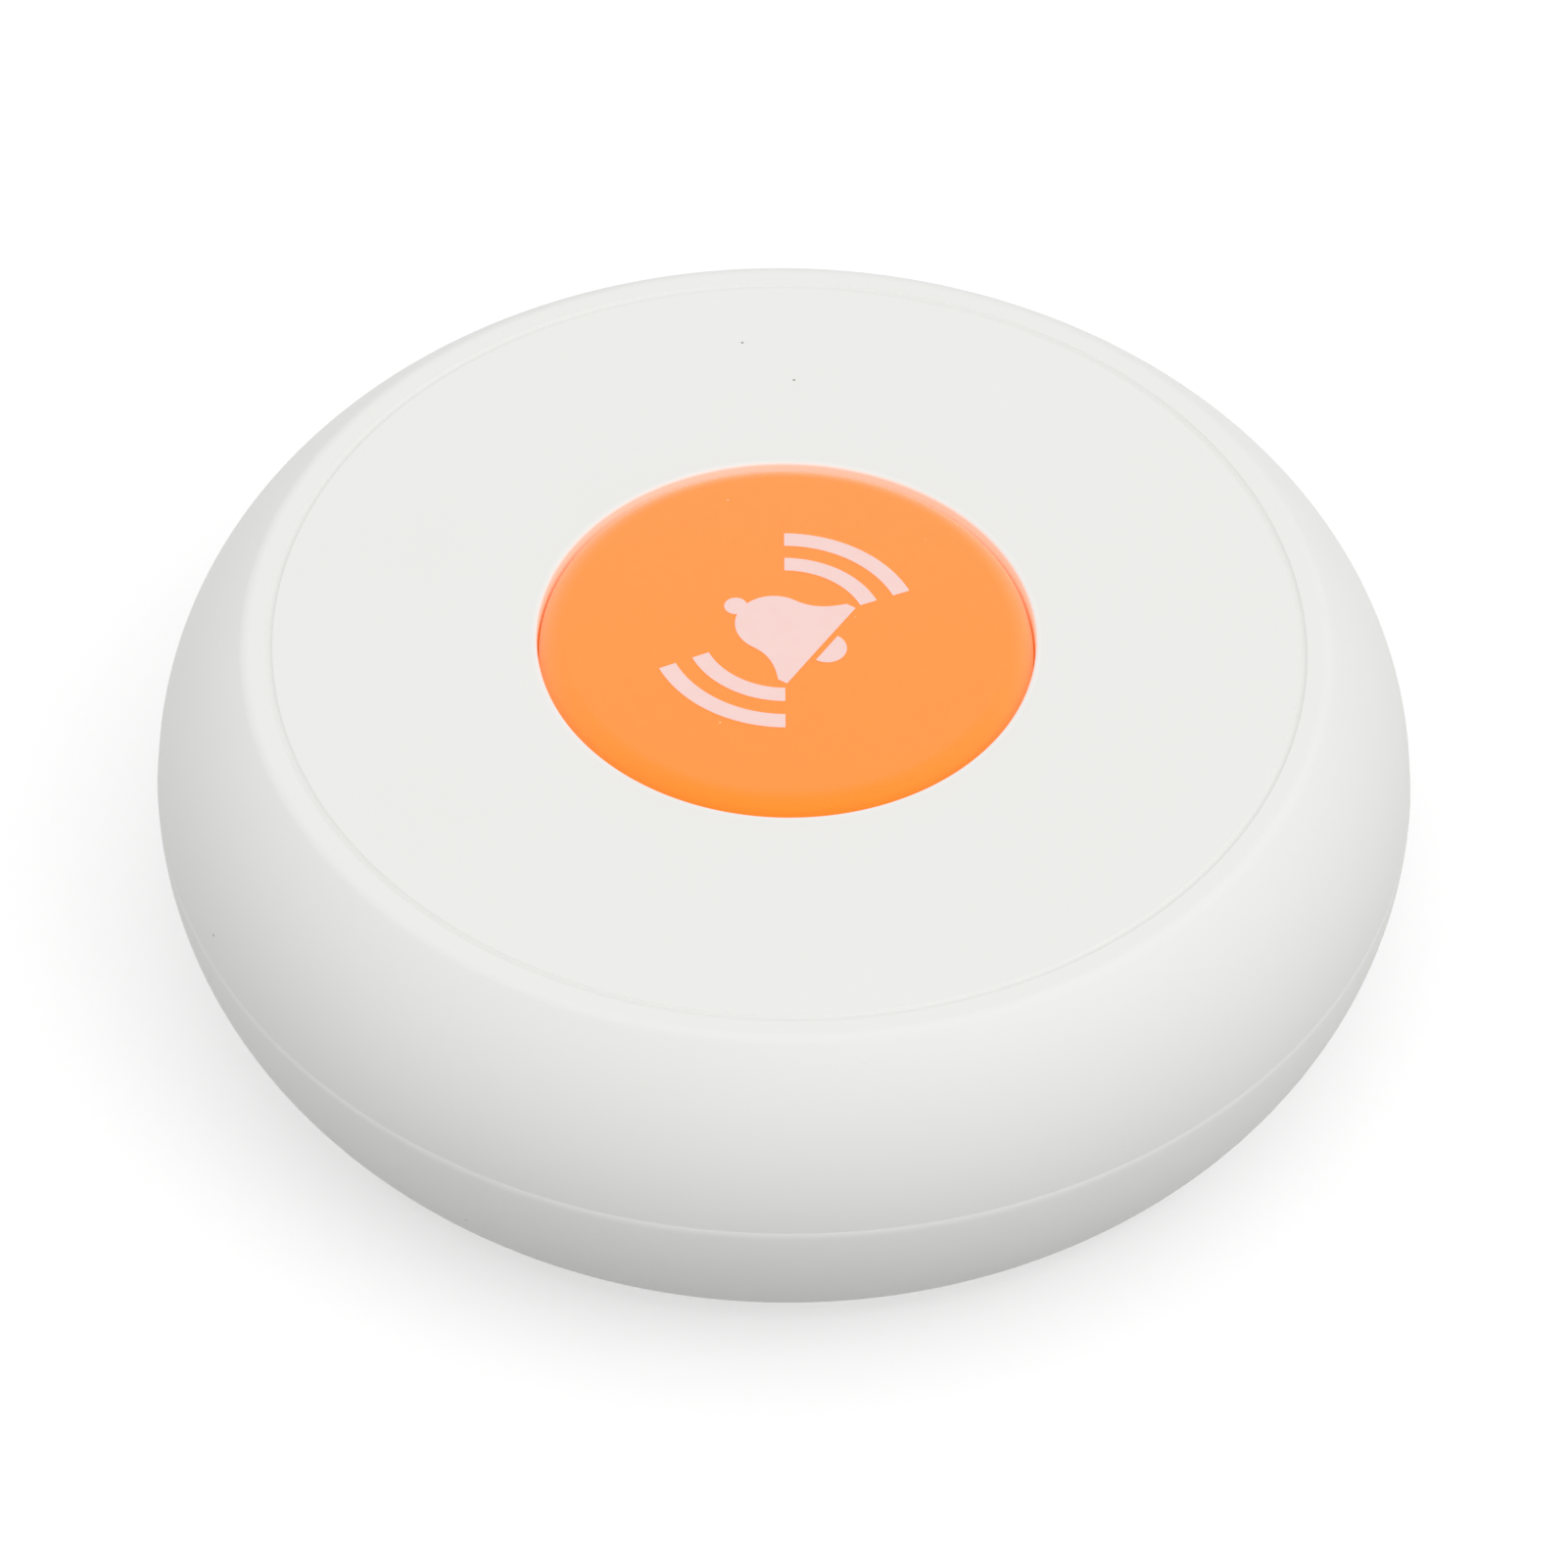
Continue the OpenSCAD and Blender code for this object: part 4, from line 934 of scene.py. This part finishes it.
# %% [markdown]
# ## The feet
# Four rubber discs sit in round seats in the base, over the screws, and lift it off the table by
# 0.6 mm. Each has a rounded edge and a shallow dish below, so that it grips with a ring.
# One is turned, and its copies are joined to one piece, because they are one kind of part.

# %% Feet
DISH_R, DISH_DEPTH, FOOT_ROUND = 1.8, 0.12, 0.3
foot_outline = (
    [(0, DISH_DEPTH), (DISH_R, DISH_DEPTH)]
    + arc((DISH_R, 0), DISH_DEPTH, 90, 0, 6)[1:]
    + [(foot_r - FOOT_ROUND - HOLD, 0)]
    + arc((foot_r - FOOT_ROUND, FOOT_ROUND), FOOT_ROUND, -90, 0, 8)
    + [(foot_r, FOOT_ROUND + HOLD), (foot_r, foot_seat_z), (0, foot_seat_z)])
feet = copies(turn("rubber_discs", foot_outline, INNER_SIDES), screw_angles, screw_circle_r)
feet.name = "rubber_discs"
polish(feet)
dress(feet, "housing", foot_rubber, "foot_rubber", "rubber_feet")

# %% [markdown]
# ## The battery door
# A round white lid in the underside, turned with a coin. Outside it shows a rounded edge, the coin
# slot and a dot that points at the marks on the base. Inside it has a plug with three lugs, a rib
# under the cell and a groove for its O-ring. The slot is a long block with its upright edges
# bevelled until the ends are round. A block and two cylinders would do too, but then three tools
# have to meet exactly.

# %% Door
door_z, door_flange_z, door_r = 0.7, 1.95, 13.9
door_plug_r, door_lug_r, door_lug_z, door_lug_top_z = 10.45, 11.9, 3.05, 3.65
door_plate_z, ring_inner_r = 2.3, 9.1
seal_r, seal_w, seal_floor_z = 13.0, 0.96, 1.1
rib_outer_r, rib_inner_r, rib_top_z = 8.2, 7.0, 3.7
door_lug_root_r, DOOR_LUG_SWEEP = door_plug_r - 0.675, 24
DOOR_ROUND = 0.3
door_outline = (
    [(0, door_z), (door_r - DOOR_ROUND - HOLD, door_z)]
    + arc((door_r - DOOR_ROUND, door_z + DOOR_ROUND), DOOR_ROUND, -90, 0, 8)
    + [(door_r, door_z + DOOR_ROUND + HOLD), (door_r, door_flange_z),
       (seal_r + seal_w / 2, door_flange_z), (seal_r + seal_w / 2, seal_floor_z),
       (seal_r - seal_w / 2, seal_floor_z), (seal_r - seal_w / 2, door_flange_z),
       (door_plug_r, door_flange_z), (door_plug_r, door_lug_top_z),
       (ring_inner_r, door_lug_top_z), (ring_inner_r, door_plate_z),
       (rib_outer_r, door_plate_z), (rib_outer_r, rib_top_z), (rib_inner_r, rib_top_z),
       (rib_inner_r, door_plate_z), (0, door_plate_z)])
door = turn("battery_lid", door_outline)
lug = sector("door_lug", door_lug_root_r, door_lug_r, door_lug_z, door_lug_top_z,
             0, DOOR_LUG_SWEEP)
combine(door, copies(lug, locked_lugs), "UNION")
print("door turned, with lugs at", locked_lugs)

# %% Coin slot and dot
SLOT_L, SLOT_W, SLOT_DEPTH = 16.0, 1.8, 0.9
SLOT_END = 0.995      # share of the half width that is rounded, so that two bevels never meet
DOOR_DOT_R = 11.3
take(None)
bpy.ops.mesh.primitive_cube_add(size=MM)
slot = bpy.context.object
slot.scale = (SLOT_L, SLOT_W, SLOT_DEPTH + OVER)
slot.location.z = (door_z + (SLOT_DEPTH - OVER) / 2) * MM
bpy.ops.object.transform_apply(location=True, scale=True)
bpy.ops.object.mode_set(mode="EDIT")
bpy.ops.mesh.select_mode(type="EDGE")
bpy.ops.mesh.select_all(action="DESELECT")
drawing = bmesh.from_edit_mesh(slot.data)
for edge in drawing.edges:
    a, b = edge.verts
    edge.select = abs(a.co.z - b.co.z) > SLOT_DEPTH / 2 * MM
bmesh.update_edit_mesh(slot.data)
bpy.ops.mesh.bevel(offset=SLOT_W / 2 * SLOT_END * MM, segments=14)
bpy.ops.object.mode_set(mode="OBJECT")
combine(door, slot, "DIFFERENCE")
combine(door, copies(dot_tool("door_dot", door_z), MARKS[:1], DOOR_DOT_R), "DIFFERENCE")
polish(door)
dress(door, "door", white_abs, "white_shell", "battery_door")

# %% [markdown]
# ## The membrane and the snap dome
# Under the cap, a silicone membrane keeps water out and pushes the button back up. In the switch, a
# tiny steel dome gives the click. Both are turned from their outline. Both flex when the button
# goes
# down: the membrane's pad sinks with the cap, and the dome loses its height under the plunger.

# %% Membrane
MEMBRANE_SIDES, DOME_SIDES = 128, 64
membrane_r, pad_r, web_t, roll_r, roll_outer = 15.0, 2.6, 0.5, 8.4, 1.5
web_z, pad_web_z = seat_z + 0.2, pad_z + 0.1
web_top = web_z + web_t
frame_hole_r = roll_r + roll_outer + 0.7
clamp_r, pad_foot_r = frame_hole_r + 0.2, pad_r - 0.1
dip = math.degrees(math.asin(web_t / roll_outer))
membrane_outline = (
    [(0, pad_top_z), (pad_r - HOLD, pad_top_z), (pad_r, pad_top_z - HOLD),
     (pad_r, pad_web_z + web_t)]
    + arc((roll_r, web_top), roll_outer - web_t, 180, 360, 24)
    + [(frame_hole_r, web_top), (clamp_r, collar_z), (membrane_r, collar_z),
       (membrane_r, seat_z), (clamp_r, seat_z), (frame_hole_r, web_z)]
    + arc((roll_r, web_top), roll_outer, -dip, dip - 180, 24)
    + [(pad_r, pad_web_z), (pad_foot_r, pad_z), (0, pad_z)])
membrane = polish(turn("silicone_membrane", membrane_outline, MEMBRANE_SIDES))
dress(membrane, "housing", clear_silicone, "clear_silicone", "seal_membrane")
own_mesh(membrane)

# %% Snap dome
dome_r, dome_h, dome_t, dome_z = 2.3, 0.6, 0.12, board_top_z + 1.3
dome_curve = (dome_r ** 2 + dome_h ** 2) / (2 * dome_h)
dome_centre = (0, dome_z + dome_h - dome_curve)


def dome_low(radius):
    return math.degrees(math.asin((dome_curve - dome_h) / radius))


dome_outline = (
    arc(dome_centre, dome_curve, dome_low(dome_curve), 90, 16)
    + arc(dome_centre, dome_curve - dome_t, 90, dome_low(dome_curve - dome_t), 16))
dome_outline = dome_outline + dome_outline[:1]
dome = polish(turn("snap_dome", dome_outline, DOME_SIDES))
dress(dome, "housing", spring_steel, "spring_steel", "switch_dome")
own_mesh(dome)

# %% [markdown]
# ## The other CAD parts
# Screws, seals, frame, board, switch, radio, battery and contacts already have their true shape in
# the CAD model, so they keep it. Each takes the material that its record names.

# %% Materials for the CAD nodes that stay
by_slot = {
    "white_shell": white_abs, "orange_cap": orange_cap, "printed_ink": printed_ink,
    "foot_rubber": foot_rubber, "seal_rubber": seal_rubber, "clear_silicone": clear_silicone,
    "black_plastic": black_plastic, "board_laminate": board_laminate, "chip_resin": chip_resin,
    "chip_ceramic": chip_ceramic, "light_resin": light_resin, "plated_steel": plated_steel,
    "spring_steel": spring_steel, "cell_steel": cell_steel, "copper_wire": copper_wire}
for row in frame["record"]["subparts"]:
    part = frame["nodes"][row["node"]]
    part.data.materials.clear()
    part.data.materials.append(by_slot[row["material_slot"]])
